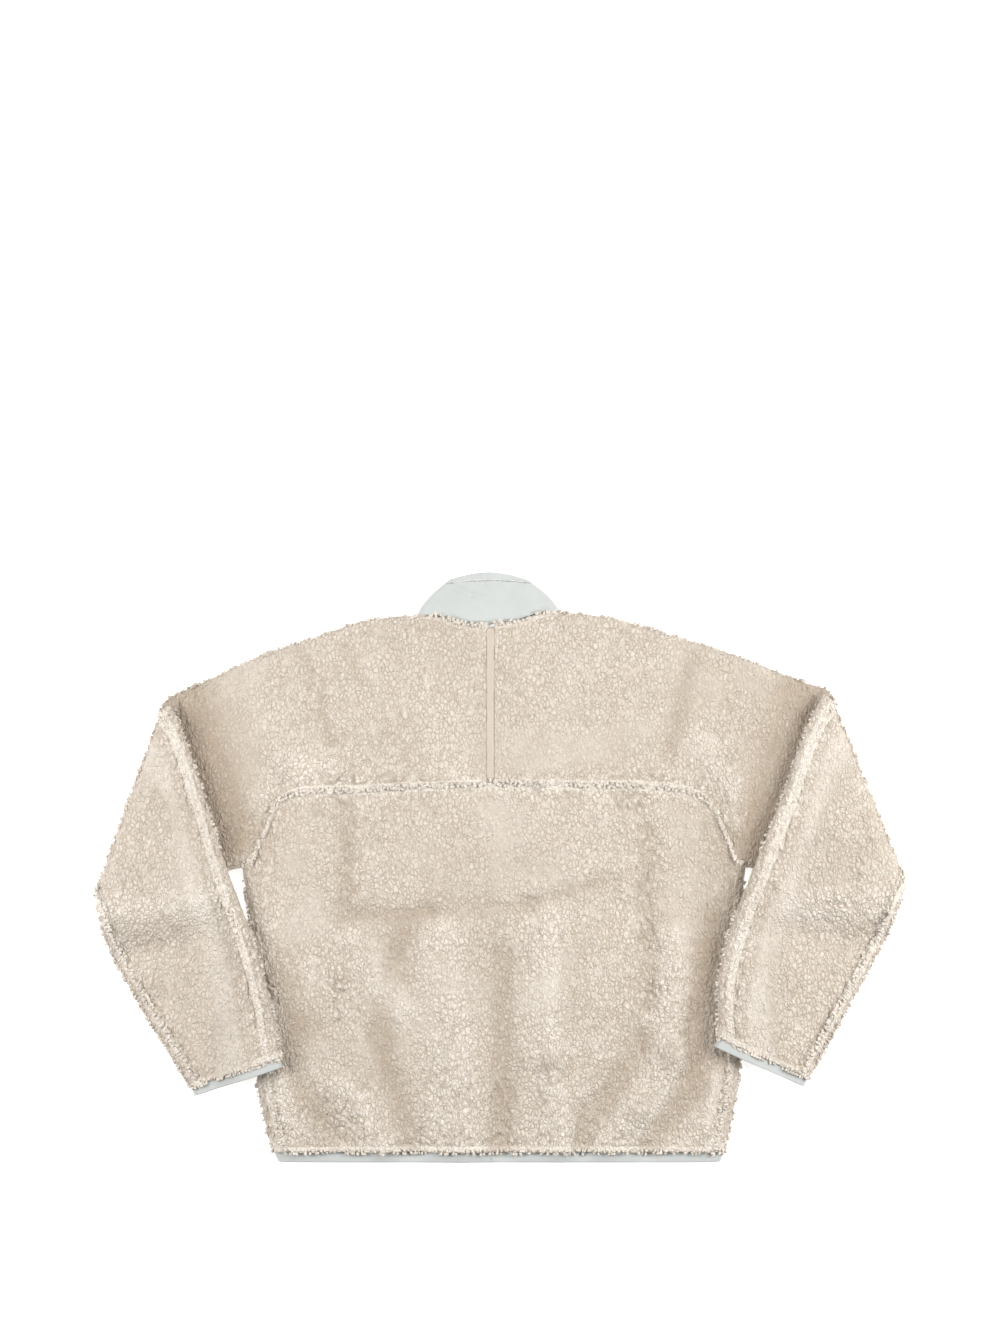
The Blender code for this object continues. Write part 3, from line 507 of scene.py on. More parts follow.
def collar_point(side, turn, up, depth):
    """Points of the collar. turn runs from the middle of the back (0) round the side fold (1 to 2) to the zip
    (3); up runs from the base seam (0) to the top edge (1)."""
    turn, up = np.broadcast_arrays(turn, up)
    radius = mix(COLLAR_BASE_R, COLLAR_TOP_R, up)
    fold = collar_side(side, up)
    run = unit(collar_side(side, np.minimum(up + 0.03, 1.0)) - collar_side(side, np.maximum(up - 0.03, 0.0)))
    lean = smooth((up - 0.5) / 0.5)[..., None]
    run = mix(run, np.array([-0.2, 0.98]), lean)
    bend = (np.clip(turn, 1.0, 2.0) - 1.0) * math.pi
    level = np.cos(bend)
    shrink = radius - (radius - depth) * np.sin(bend)
    x = COLLAR_X + side * (fold[..., 0] - shrink * run[..., 1])
    flat = np.where(turn < 1.0, 1.0 - turn, np.where(turn > 2.0, turn - 2.0, 0.0))
    middle = np.where(turn < 1.0, COLLAR_X, CENTRE_X + side * (COLLAR_SLOT + SEAM))
    x = mix(x, middle, flat)
    base = COLLAR_BASE_HALF - side * (CENTRE_X - COLLAR_X)
    distance = np.maximum(mix(base, side * (middle - CENTRE_X), flat), 0.0)
    reach = np.minimum(np.abs(x - COLLAR_X) / fold[..., 0], 1.0)
    heights = []
    for front, top in ((False, COLLAR_TOP_Y), (True, COLLAR_FRONT_TOP_Y)):
        low = collar_base(side, distance, front)
        heights.append(mix(low, mix(top, COLLAR_TOP_SIDE_Y, reach * reach), up))
    y = mix(heights[1], heights[0], (level + 1.0) / 2.0) + shrink * run[..., 0] * (1.0 - flat) * up
    return np.stack([x, y, radius + level * (radius - depth)], axis=-1)


def collar_grid(low, high, depth, back, turn, rows):
    """Points of a band of the collar, from the zip round the left, the back and the right to the zip."""
    turns = np.concatenate([np.linspace(0.0, 1.0, back)[:-1], np.linspace(1.0, 2.0, turn)[:-1],
                            np.linspace(2.0, 3.0, back)])
    ups = np.linspace(low, high, rows)[None, :]
    left = collar_point(-1, turns[::-1, None], ups, depth)
    right = collar_point(1, turns[1:, None], ups, depth)
    return np.concatenate([left, right])


def cuff_grid(side, depth, columns, rows):
    """Points of the binding round a sleeve's end, a flattened ring that carries on from the sleeve."""
    top, bottom = (ends[0] for ends in sleeve_stations(side, np.array([1.0])))
    width = np.linalg.norm(bottom - top)
    heading = (bottom - top) / width
    onward = np.array([-heading[1], heading[0]])
    half = half_round(width)
    along = np.linspace(-QUARTER, 2 * half - QUARTER, columns)[:, None]
    shift = np.linspace(SEAM, CUFF_LENGTH, rows)[None, :, None] * onward
    along = np.broadcast_to(along, (columns, rows))
    return ring_point(side, top + shift, bottom + shift, np.ones(along.shape, bool), along, depth)


def hem_grid(wall, columns, rows):
    """Points of the binding along the hem, from one side of the zip round the back to the other."""
    y = np.linspace(HEM_Y - SEAM, HEM_END_Y, rows)[None, :]
    halves = []
    for side in (-1, 1):
        reach = body_reach(side, HEM_Y)
        along = np.linspace(reach, -reach, columns)[:, None]
        depth = wall + 2.5 * smooth(along / QUARTER)
        lines = body_point(side, y, np.where(np.abs(along) < 0.001, 0.001, along), depth)
        lines[0, :, 0] = CENTRE_X
        lines[-1, :, 0] = CENTRE_X + side * (ZIP_HALF + SEAM)
        halves.append(lines)
    return np.concatenate([halves[0][::-1], halves[1][1:]])


def normals_of(outer, inner):
    """Unit vectors out of the cloth at the points of its outer face."""
    along = np.gradient(outer, axis=0)
    across = np.gradient(outer, axis=1)
    normal = unit(np.cross(along, across))
    facing = np.sum(normal * (outer - inner))
    return normal if facing > 0 else -normal


def mesh_from(name, outer, inner, material, attributes=None, tube=False):
    """Closed cloth: a fine outer face, an inner face through every COARSE-th point, and the rims between them.
    A tube's first and last rows are one."""
    if tube:
        outer = outer[:-1]
    rows, columns = outer.shape[:2]
    keep_rows = np.arange(0, rows, COARSE)
    if not tube:
        keep_rows = np.unique(np.append(keep_rows, rows - 1))
    keep_columns = np.unique(np.append(np.arange(0, columns, COARSE), columns - 1))
    inside = inner[np.ix_(keep_rows, keep_columns)]
    points = np.concatenate([outer.reshape(-1, 3), inside.reshape(-1, 3)]) * MM
    fine = np.arange(rows * columns).reshape(rows, columns)
    coarse = rows * columns + np.arange(inside.shape[0] * inside.shape[1]).reshape(inside.shape[:2])
    if tube:
        fine = np.concatenate([fine, fine[:1]])
        coarse = np.concatenate([coarse, coarse[:1]])
        keep_rows = np.append(keep_rows, rows)
        rows += 1

    def quads(grid):
        return np.stack([grid[:-1, :-1], grid[1:, :-1], grid[1:, 1:], grid[:-1, 1:]], axis=-1).reshape(-1, 4)

    faces = quads(fine).tolist() + quads(coarse)[:, ::-1].tolist()
    borders = [(fine[:, 0][::-1], coarse[:, 0][::-1], rows - 1 - keep_rows[::-1]),
               (fine[:, -1], coarse[:, -1], keep_rows)]
    if not tube:
        borders += [(fine[0], coarse[0], keep_columns),
                    (fine[-1][::-1], coarse[-1][::-1], columns - 1 - keep_columns[::-1])]
    for near, far, stops in borders:
        for at in range(len(stops) - 1):
            run = near[stops[at]:stops[at + 1] + 1].tolist()
            faces.append(run[::-1] + [int(far[at]), int(far[at + 1])])
    mesh = bpy.data.meshes.new(name)
    mesh.from_pydata(points.tolist(), [], faces)
    for label, values in (attributes or {}).items():
        layer = mesh.attributes.new(label, "FLOAT", "POINT")
        under = values[np.ix_(keep_rows, keep_columns)]
        every = np.concatenate([values.reshape(-1), under.reshape(-1)])
        layer.data.foreach_set("value", every.astype(np.float32))
    shape = bmesh.new()
    shape.from_mesh(mesh)
    bmesh.ops.recalc_face_normals(shape, faces=shape.faces)
    if shape.calc_volume(signed=True) < 0:
        bmesh.ops.reverse_faces(shape, faces=shape.faces)
    shape.to_mesh(mesh)
    shape.free()
    mesh.shade_smooth()
    mesh.materials.append(material)
    made = bpy.data.objects.new(name, mesh)
    bpy.context.scene.collection.objects.link(made)
    return made


SMOOTHEST = -0.3             # how rough the smoothest pile is; the most clotted is 1
RIM_REACH = 1.6              # how far the pile reaches over a seam
TUFT_TOP = 40.0              # no tuft grows from higher up than this
HOLLOW = (318.0, -22.0, 36.0, 45.0)     # bare hollow below each armpit: its middle and half sizes
PILE_SINK = 1.3              # how far the lumps' roots lie below the cloth's outer face
FINE = 1.8                   # spacing of the points on a fleece face that shows
COARSE = 4                   # steps of the outer face's points to one of the inner face's


def points_along(length):
    """A number of points, about FINE apart, that gives whole steps of the inner face's spacing."""
    return int(round(length / FINE / COARSE)) * COARSE + 1


def add_node(tree, kind, settings, sockets):
    """Add a node: its settings first, then a value or a link for each of the sockets named."""
    made = tree.nodes.new(kind)
    for label, value in settings.items():
        setattr(made, label, value)
    for label, value in sockets.items():
        if isinstance(value, bpy.types.NodeSocket):
            tree.links.new(value, made.inputs[label])
        else:
            made.inputs[label].default_value = value
    return made


class Value:
    """A number in a material's node tree; expressions on it add Math nodes."""

    def __init__(self, finish, socket):
        self.finish = finish
        self.socket = socket

    def join(self, operation, first, second):
        return self.finish.node("ShaderNodeMath", {"operation": operation}, {0: first, 1: second})

    def __add__(self, other):
        return self.join("ADD", self, other)

    def __sub__(self, other):
        return self.join("SUBTRACT", self, other)

    def __rsub__(self, other):
        return self.join("SUBTRACT", other, self)

    def __mul__(self, other):
        return self.join("MULTIPLY", self, other)

    def between(self, low, high):
        """0 up to low, 1 from high on, with a soft step between them."""
        return self.finish.node("ShaderNodeMapRange", {"interpolation_type": "SMOOTHSTEP"},
                                {"Value": self, "From Min": low, "From Max": high})

    def most(self, other):
        return self.join("MAXIMUM", self, other)

    __radd__ = __add__
    __rmul__ = __mul__


class Finish:
    """A material and its node tree."""

    def __init__(self, name, roughness, **fixed):
        self.material = bpy.data.materials.new(name)
        self.material.use_nodes = True
        self.tree = self.material.node_tree
        self.shader = self.tree.nodes["Principled BSDF"]
        self.shader.inputs["Roughness"].default_value = roughness
        for label, value in fixed.items():
            self.shader.inputs[label.replace("_", " ")].default_value = value

    def node(self, kind, settings, sockets, out=0):
        plain = {label: value.socket if isinstance(value, Value) else value for label, value in sockets.items()}
        return Value(self, add_node(self.tree, kind, settings, plain).outputs[out])

    def place(self, scale=(1.0, 1.0, 1.0)):
        """Object coordinates in millimetres, scaled."""
        spot = self.node("ShaderNodeTexCoord", {}, {}, "Object")
        grown = tuple(share / MM for share in scale)
        return self.node("ShaderNodeMapping", {}, {"Vector": spot, "Scale": grown})

    def attribute(self, label):
        return self.node("ShaderNodeAttribute", {"attribute_name": label}, {}, "Fac")

    def noise(self, place, size, detail=2.0, roughness=0.5):
        """Noise from 0 to 1 whose grains are size millimetres across."""
        return self.node("ShaderNodeTexNoise", {},
                         {"Vector": place, "Scale": 1.0 / size, "Detail": detail, "Roughness": roughness})

    def cells(self, place, size):
        """Distance from the edges between scattered cells, which are size millimetres across."""
        return self.node("ShaderNodeTexVoronoi", {"feature": "DISTANCE_TO_EDGE"},
                         {"Vector": place, "Scale": 1.0 / size})

    def wave(self, place, heading, scale, distortion):
        """Waves from 0 to 1 that follow one another along the heading."""
        return self.node("ShaderNodeTexWave", {"bands_direction": heading},
                         {"Vector": place, "Scale": scale, "Distortion": distortion})

    def blend(self, first, second, share):
        """A colour between two, as share says."""
        ends = [value if isinstance(value, Value) else (*value, 1.0) for value in (first, second)]
        return self.node("ShaderNodeMix", {"data_type": "RGBA"}, {0: share, 6: ends[0], 7: ends[1]}, 2)

    def finish(self, colour, height=None, depth=0.5, roughness=None):
        """Join the colour and the relief, whose depth is in millimetres, to the shader."""
        self.tree.links.new(colour.socket, self.shader.inputs["Base Color"])
        if roughness is not None:
            self.tree.links.new(roughness.socket, self.shader.inputs["Roughness"])
        if height is not None:
            relief = self.node("ShaderNodeBump", {},
                               {"Height": height, "Distance": depth * MM, "Strength": 1.0})
            self.tree.links.new(relief.socket, self.shader.inputs["Normal"])
        return self.material


def make_fleece_finish():
    """Curled pile: pale lumps with thin broken creases between them, with painted highlights on the lumps' tops
    and painted shade in the creases; the tone attribute says how light the pile is, with painted light on
    ridges and painted shade in valleys in it.
    """
    made = Finish("cream_boucle", 0.95, Sheen_Weight=0.2, Sheen_Roughness=0.55, Specular_IOR_Level=0.1)
    place = made.place()
    tone_and_painted_shading = made.attribute("tone_and_painted_shading")
    rough = made.attribute("rough")
    crevice = made.attribute("crevice")
    bend = made.node("ShaderNodeTexNoise", {}, {"Vector": place, "Scale": 1 / 6.0, "Detail": 1.0}, "Color")
    bent = made.node("ShaderNodeVectorMath", {"operation": "MULTIPLY_ADD"},
                     {0: bend, 1: (4.2, 4.2, 4.2), 2: place})
    drawn = made.node("ShaderNodeMapping", {}, {"Vector": bent, "Scale": (1.0, 0.62, 1.0)})
    curl = made.cells(drawn, 4.4)
    small = made.cells(bent, 2.7)
    fibre = made.noise(place, 0.9, 3.0, 0.65)
    where = made.noise(place, 9.0, 2.0)
    patch = made.noise(place, 55.0, 2.0)
    # Painted shade: the creases between the lumps, the deep crevices and the split lines are darkened, as shade
    # falls in them.
    line = (1.0 - curl.between(0.0, 0.15)) * where.between(0.25, 0.5) * rough.between(-0.35, 0.25)
    fine = (1.0 - small.between(0.0, 0.16)) * 0.35
    deep_crease_shade = (1.0 - crevice.between(0.1, 0.6)) * (rough * 0.6 + 0.15)
    split = (1.0 - crevice.between(0.03, 0.22)) * 0.4
    painted_shade = line.most(fine).most(deep_crease_shade).most(split) * 0.8
    tone = tone_and_painted_shading + patch.between(0.35, 0.65) * 0.16 - 0.08
    colour = made.blend((0.51, 0.425, 0.34), (0.88, 0.81, 0.72), tone)
    # Painted highlight: the middle of each lump, its top, is lightened.
    colour = made.blend(colour, (0.92, 0.86, 0.78), curl.between(0.25, 0.6) * 0.35)
    # Painted shade: the colour is darkened towards a shade brown in the creases.
    colour = made.blend(colour, (0.40, 0.31, 0.225), painted_shade)
    height = curl.between(0.0, 0.35) * 0.7 + small.between(0.0, 0.3) * 0.2 + fibre * 0.25
    return made.finish(colour, height, 2.0)


def make_woven_finish():
    """Matte woven cloth, almost one colour."""
    made = Finish("mint_woven", 0.62, Sheen_Weight=0.15, Sheen_Roughness=0.4, Specular_IOR_Level=0.3)
    place = made.place()
    patch = made.noise(place, 30.0, 3.0)
    thread = made.noise(made.place((1.0, 6.0, 1.0)), 0.7, 2.0)
    colour = made.blend((0.48, 0.498, 0.48), (0.51, 0.53, 0.512), patch.between(0.3, 0.7))
    return made.finish(colour, thread * 0.5 + patch * 0.5, 0.15)


def make_strip_finish():
    """A flat knitted strip with fine ribs along it and small rungs across."""
    made = Finish("knitted_strip", 0.85, Sheen_Weight=0.15)
    place = made.place()
    ribs = made.wave(place, "X", 0.13, 0.4)
    rungs = made.wave(place, "Y", 0.18, 1.0)
    patch = made.noise(place, 7.0, 3.0)
    knit = ribs * 0.55 + rungs * 0.25 + patch * 0.2
    colour = made.blend((0.52, 0.43, 0.35), (0.76, 0.67, 0.575), knit)
    return made.finish(colour, ribs * 0.6 + rungs * 0.4, 0.5)


def make_thread_finish():
    """Twisted sewing thread."""
    made = Finish("thread", 0.6, Sheen_Weight=0.2)
    twist = made.noise(made.place((1.0, 4.0, 1.0)), 0.6, 2.0)
    return made.finish(made.blend((0.27, 0.28, 0.25), (0.40, 0.40, 0.36), twist), twist, 0.1)


def make_tape_finish():
    """The zip's tape, in a slanting weave."""
    made = Finish("zip_tape_weave", 0.75, Sheen_Weight=0.2)
    place = made.place()
    weave = made.wave(place, "DIAGONAL", 0.35, 0.6)
    patch = made.noise(place, 12.0, 3.0)
    colour = made.blend((0.50, 0.525, 0.505), (0.56, 0.585, 0.565), weave * 0.6 + patch * 0.4)
    return made.finish(colour, weave, 0.2)


def make_tooth_finish():
    """Moulded plastic of the zip's teeth."""
    made = Finish("zip_tooth_plastic", 0.4)
    haze = made.noise(made.place(), 3.0, 2.0)
    return made.finish(made.blend((0.52, 0.54, 0.52), (0.60, 0.62, 0.60), haze), haze, 0.05)


def make_metal_finish():
    """Satin metal of the slider."""
    made = Finish("slider_metal", 0.35, Metallic=1.0)
    haze = made.noise(made.place(), 2.5, 3.0)
    colour = made.blend((0.50, 0.50, 0.49), (0.64, 0.64, 0.63), haze)
    return made.finish(colour, haze, 0.08, haze * 0.2 + 0.28)


def make_floor_finish():
    """A white floor that glows a little, as in a studio."""
    made = Finish("floor", 0.9, Emission_Color=(1.0, 1.0, 1.0, 1.0), Emission_Strength=0.62)
    patch = made.noise(made.place(), 400.0, 1.0)
    return made.finish(made.blend((0.93, 0.93, 0.93), (0.95, 0.95, 0.95), patch))


FLEECE = make_fleece_finish()
WOVEN = make_woven_finish()
STRIP = make_strip_finish()
THREAD = make_thread_finish()
TAPE = make_tape_finish()
TOOTH = make_tooth_finish()
METAL = make_metal_finish()
FLOOR = make_floor_finish()


def scatter(cell, seed):
    """Three numbers from 0 to 1 for each whole-numbered cell, the same on every run."""
    key = cell.astype(np.int64)
    mixed = (key[..., 0] * 73856093) ^ (key[..., 1] * 19349663) ^ (key[..., 2] * 83492791) ^ (seed * 2654435761)
    found = []
    for turn in (2246822519, 3266489917, 668265263):
        mixed = (mixed ^ (mixed >> 15)) * turn & 0xFFFFFFFF
        mixed = mixed ^ (mixed >> 13)
        found.append((mixed & 0xFFFFF) / 0x100000)
    return found


def lumps(points, size, seed):
    """Distances to the nearest and the second nearest scattered point, and a number of the nearest's own."""
    spots = points / size
    cell = np.floor(spots)
    first = np.full(spots.shape[:-1], 9.0)
    second = np.full(spots.shape[:-1], 9.0)
    own = np.zeros(spots.shape[:-1])
    for shift in itertools.product((-1, 0, 1), repeat=3):
        near = cell + shift
        jitter = scatter(near, seed)
        gap = np.sqrt(sum((near[..., axis] + jitter[axis] - spots[..., axis]) ** 2 for axis in range(3)))
        closer = gap < first
        second = np.where(closer, first, np.minimum(second, gap))
        own = np.where(closer, jitter[0], own)
        first = np.where(closer, gap, first)
    return first, second, own


def drift(points, size, seed):
    """Smooth noise from -1 to 1 whose swells are size millimetres across."""
    spots = points / size
    cell = np.floor(spots)
    share = smooth(spots - cell)
    total = np.zeros(spots.shape[:-1])
    for corner in itertools.product((0, 1), repeat=3):
        weight = np.prod(np.where(corner, share, 1.0 - share), axis=-1)
        total += weight * scatter(cell + corner, seed)[0]
    return total * 2.0 - 1.0


def pile_height(points, heading, rough):
    """Height of the curled pile and how open it is, 0 in a crevice and 1 on a lump.
    heading is the way that the lumps are drawn out; rough is 0 on smooth pile and 1 on clotted pile."""
    heading = np.array(heading) / np.linalg.norm(heading)
    stretched = points - 0.35 * (points @ heading)[..., None] * heading
    bend = np.stack([drift(stretched, 8.0, seed) for seed in (11, 12, 13)], axis=-1)
    bent = stretched + 3.0 * bend
    first, second, own = lumps(bent, 6.6, 5)
    edge = smooth((second - first) / 0.34)
    dome = np.sqrt(np.clip(1.0 - first ** 2, 0.0, 1.0))
    small = edge * (0.7 + 0.3 * dome) * (0.75 + 0.4 * own)
    first, second, own = lumps(bent * 0.75 + 40.0, 9.0, 6)
    large = smooth((second - first) / 0.3) * (0.7 + 0.5 * own)
    crack = 1.0 - smooth((second - first) / 0.13)
    crack = crack * smooth((drift(points, 30.0, 7) + 0.1 + 0.5 * rough) / 0.5)
    drawn = bent - 0.45 * (bent @ heading)[..., None] * heading
    first, second, own = lumps(drawn * 0.8 + 80.0, 10.0, 10)
    split = (1.0 - smooth((second - first) / 0.15)) * smooth((drift(points, 26.0, 14) + 0.05) / 0.35)
    swell = 0.5 * drift(points, 16.0, 8) + 0.5 * drift(points, 38.0, 9)
    height = mix(small * 1.25, small * 1.1 + large * 1.9, rough) - crack * mix(0.7, 1.5, rough) + 0.5 * swell
    crevice = np.minimum(mix(0.45, 0.0, rough) + edge, 1.0) * (1.0 - 0.8 * crack) * (1.0 - 0.95 * split)
    return height - 0.9 * split, crevice


def side_name(side):
    """The name of side -1 or 1."""
    return "left" if side < 0 else "right"


def dress(piece, node):
    """Put a piece in its solid's place: hang it from the root and hide the solid."""
    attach(piece, "root")
    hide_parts(node)


def make_trim(name, node, flat, held, outer, inner, tube=False):
    """One band of woven trim, in place of its solid."""
    dress(mesh_from(name, outer, inner, WOVEN, tube=tube), node)


def rims(width):
    """The points beside a grid's four rims: its first and last rows, then its first and last columns."""
    return np.s_[:width, :], np.s_[-width:, :], np.s_[:, :width], np.s_[:, -width:]


def overlap_rims(points, normal, bare):
    """Let the pile at a piece's rims swell and, but for the bare rims, reach over its seams."""
    for rim in rims(3):
        points[rim] += 0.45 * normal[rim]
    sides = ((points[0], points[2]), (points[-1], points[-3]), (points[:, 0], points[:, 2]),
             (points[:, -1], points[:, -3]))
    for step, (rim, inside) in enumerate(sides):
        if step in bare:
            continue
        outwards = unit(rim - inside, 1e-6)
        uneven = 0.5 * drift(rim, 4.0, 31) + 0.5 * drift(rim, 11.0, 32)
        rim += outwards * (RIM_REACH + 1.3 * uneven)[..., None]


def soften_rims(bare, height, crevice, rough):
    """Keep the painted crease shade off the pile that covers a seam, so that the seam shows as a pale ridge."""
    for step, rim in enumerate(rims(4)):
        if step not in bare:
            crevice[rim] = np.maximum(crevice[rim], 0.75)
            rough[rim] = SMOOTHEST
            height[rim] = mix(height[rim], 1.5, 0.6)


TUFTS = []                   # rows of place, lean, size and tone, painted light included


def add_tufts(points, normal, tone_and_painted_shading, chance, seed, sizes=(0.75, 1.25), lean=None):
    """Note tufts at some of the points, growing out of the cloth or leaning the given way."""
    picks = np.random.default_rng(seed)
    chosen = picks.random(points.shape[:-1]) < chance
    place = points[chosen]
    way = normal[chosen] + 0.55 * picks.normal(size=place.shape)
    if lean is not None:
        way = way * 0.6 + np.broadcast_to(lean, points.shape)[chosen]
    way = unit(way)
    size = picks.uniform(*sizes, len(place))
    place = place + way * (0.8 + 0.6 * picks.random(len(place)))[:, None]
    place[:, 2] = np.clip(place[:, 2], 2.6 * size, TUFT_TOP)
    TUFTS.append(np.column_stack([place, way, size, tone_and_painted_shading[chosen]]))


def rim_leans(points):
    """Directions out of the cloth over its four rims, each with the points beside that rim."""
    return zip(rims(2), (points[0] - points[3], points[-1] - points[-4],
                         points[:, 0] - points[:, 3], points[:, -1] - points[:, -4]))


def grow_tufts(name, points, normal, tone_and_painted_shading, bare):
    """Tufts on the sides that show as the outline, and along the seams and hems but for the bare rims."""
    seed = sum(ord(letter) for letter in name)
    steep = np.abs(normal[..., 2]) < 0.5
    shown = points[..., 2] > 3.0
    # Painted light: tufts are lighter than the pile they grow from, against the shade among them.
    tone_and_painted_shading = np.minimum(tone_and_painted_shading + 0.3, 1.0)
    hollow = np.abs(np.abs(points[..., 0]) - HOLLOW[0]) < HOLLOW[2]
    hollow &= np.abs(points[..., 1] - HOLLOW[1]) < HOLLOW[3]
    add_tufts(points, normal, tone_and_painted_shading, np.where(steep & shown & ~hollow, 0.16, 0.0), seed)
    upper = (normal[..., 2] > 0.2) & shown
    for step, (rim, lean) in enumerate(rim_leans(points)):
        if step in bare:
            continue
        lean = unit(lean, 1e-6)
        lean = lean[None] if step < 2 else lean[:, None]
        hem = step < 2 or (name == "back_panel" and step == 3)
        sizes = (0.7, 1.25) if hem else (0.9, 1.5)
        # Painted light: tufts along seams and hems take the palest tone.
        add_tufts(points[rim] + 0.8 * normal[rim], normal[rim], np.ones(tone_and_painted_shading[rim].shape),
                  np.where(upper[rim], 0.3, 0.0), seed + 1 + step, sizes, lean)


def make_fleece(name, grid_at, heading, rough_at, bare=()):
    """One cut piece of fleece with its pile, in place of its solid. bare rims get no overlap and no tufts."""
    outer = grid_at(0.0)
    inner = grid_at(WALL)
    normal = normals_of(outer, inner)
    across = reach_along(outer, 1)
    rough = np.clip(rough_at(outer, across, across[:, -1:] - across), SMOOTHEST, 1.0)
    height, crevice = pile_height(outer, heading, np.maximum(rough, 0.0))
    # The pile's tone carries painted light and shade; crevice and rough set where painted shade darkens the
    # creases.
    tone_and_painted_shading = tone_and_painted_shading_at(outer, rough)
    if "front_" in name:
        tone_and_painted_shading = np.clip(tone_and_painted_shading + 0.3 * np.clip(-rough, 0.0, 0.4) / 0.4, 0.0, 1.0)
    soften_rims(bare, height, crevice, rough)
    outer = outer + normal * (height - PILE_SINK)[..., None]
    overlap_rims(outer, normal, bare)
    outer[..., 2] = np.maximum(outer[..., 2], 0.0)
    grow_tufts(name, outer, normal, tone_and_painted_shading, bare)
    looks = {"crevice": crevice, "rough": rough, "tone_and_painted_shading": tone_and_painted_shading}
    piece = mesh_from(name + "_pile", outer, inner, FLEECE, looks)
    dress(piece, name)


def inner_edge(side):
    """Plan points along the edge of a folded sleeve that lies on the body."""
    top, bottom = sleeve_stations(side, np.linspace(0.0, 1.0, 60))
    line = ring_point(side, top, bottom, np.ones(60, bool), np.zeros(60), 0.0)
    return line[line[:, 2] > FOLD_Z - 2.0]


def gap_to(points, line):
    """Distance in plan from points to the nearest point of a line."""
    spots = points[..., :2].reshape(-1, 2)
    gap = np.full(len(spots), 1e9)
    for first, second in zip(line[:-1, :2], line[1:, :2]):
        run = second - first
        share = np.clip(((spots - first) @ run) / (run @ run), 0.0, 1.0)
        gap = np.minimum(gap, np.linalg.norm(spots - first - share[:, None] * run, axis=-1))
    return gap.reshape(points.shape[:-1])


def tone_and_painted_shading_at(points, rough):
    """How light the pile is, with painted light and shade: painted light along the ridges, the yoke seam and
    the elbows, painted shade in the valleys and beside the folded sleeves; clotted pile and seams are lighter.
    """
    x = points[..., 0]
    y = points[..., 1]
    back = smooth((points[..., 2] - EDGE_R) / 3.0)
    low = 1.0 - smooth((points[..., 2] - STACK - 7.0) / 6.0)
    # Painted light on the back's ridges and painted shade in its valleys, from the heights of its folds.
    tone_and_painted_shading = 0.68 + 0.11 * np.clip(fold_field(x, y, BACK_FOLDS), -4.0, 5.0) * back * low
    tone_and_painted_shading += 0.35 * (rough - 0.3)
    # Painted shade beside each folded sleeve's inner edge, where the sleeve's shadow falls; below the yoke it
    # fades out on the left and to 0.22 on the right.
    for side in (-1, 1):
        yoke = smooth((y + 10.0) / 40.0)
        gap = gap_to(points, inner_edge(side))
        painted_shade = np.exp(-(gap / mix(46.0, 42.0, yoke)) ** 2) * mix(0.0 if side < 0 else 0.22, 1.0, yoke)
        tone_and_painted_shading -= painted_shade * low * back
    # Painted light along the ridge of the yoke seam.
    seam = np.exp(-((y - 97.0 + 0.00016 * x ** 2) / 9.0) ** 2) * smooth((262.0 - np.abs(x)) / 30.0)
    tone_and_painted_shading += 0.22 * seam * back
    # Painted light on the elbows, against the shade where the sleeves bend down to the floor.
    painted_elbow_light = np.exp(-((y + 47.0) / 22.0) ** 2) * smooth((np.abs(x) - 320.0) / 30.0)
    return np.clip(tone_and_painted_shading + 0.3 * painted_elbow_light, 0.0, 1.0)


def body_rough(points, start, end):
    """How clotted the pile is: along the yoke seam and in the folds at the sides of the back."""
    x = points[..., 0]
    y = points[..., 1]
    seam = np.exp(-((y - 98.0) / 14.0) ** 2) * smooth((270.0 - np.abs(x)) / 40.0)
    sides = np.exp(-((x + 187.0) / 22.0) ** 2) + np.exp(-((x - 176.0) / 22.0) ** 2)
    sides = sides * smooth((y + 220.0) / 60.0) * smooth((170.0 - y) / 60.0)
    hem = smooth((-290.0 - y) / 45.0)
    edges = smooth((np.abs(x) - 262.0) / 14.0)
    drifting = 0.22 + 0.4 * drift(points, 70.0, 21) + 0.2 * drift(points, 28.0, 22)
    return drifting + 0.75 * seam + 0.6 * sides + 0.35 * hem + 0.35 * edges


def sleeve_rough(points, start, end):
    """How clotted the pile of a yoke and sleeve is, most of all along its seams."""
    beyond = smooth((np.abs(points[..., 0]) - 262.0) / 30.0)
    seam = np.exp(-(start / 19.0) ** 2)
    under = np.exp(-(end / 10.0) ** 2)
    band = np.exp(-((start - 38.0 - 0.02 * np.abs(points[..., 1])) / 20.0) ** 2)
    arm = 0.2 + 0.3 * drift(points, 60.0, 21) + 0.95 * seam + 0.5 * under - 0.5 * band
    return mix(body_rough(points, start, end), arm, beyond)


def creased(points):
    """The collar's points with the creases of its back."""
    back = smooth((points[..., 2] - COLLAR_BASE_R) / 3.0)
    points[..., 2] += fold_field(points[..., 0], points[..., 1], COLLAR_FOLDS) * back
    return points


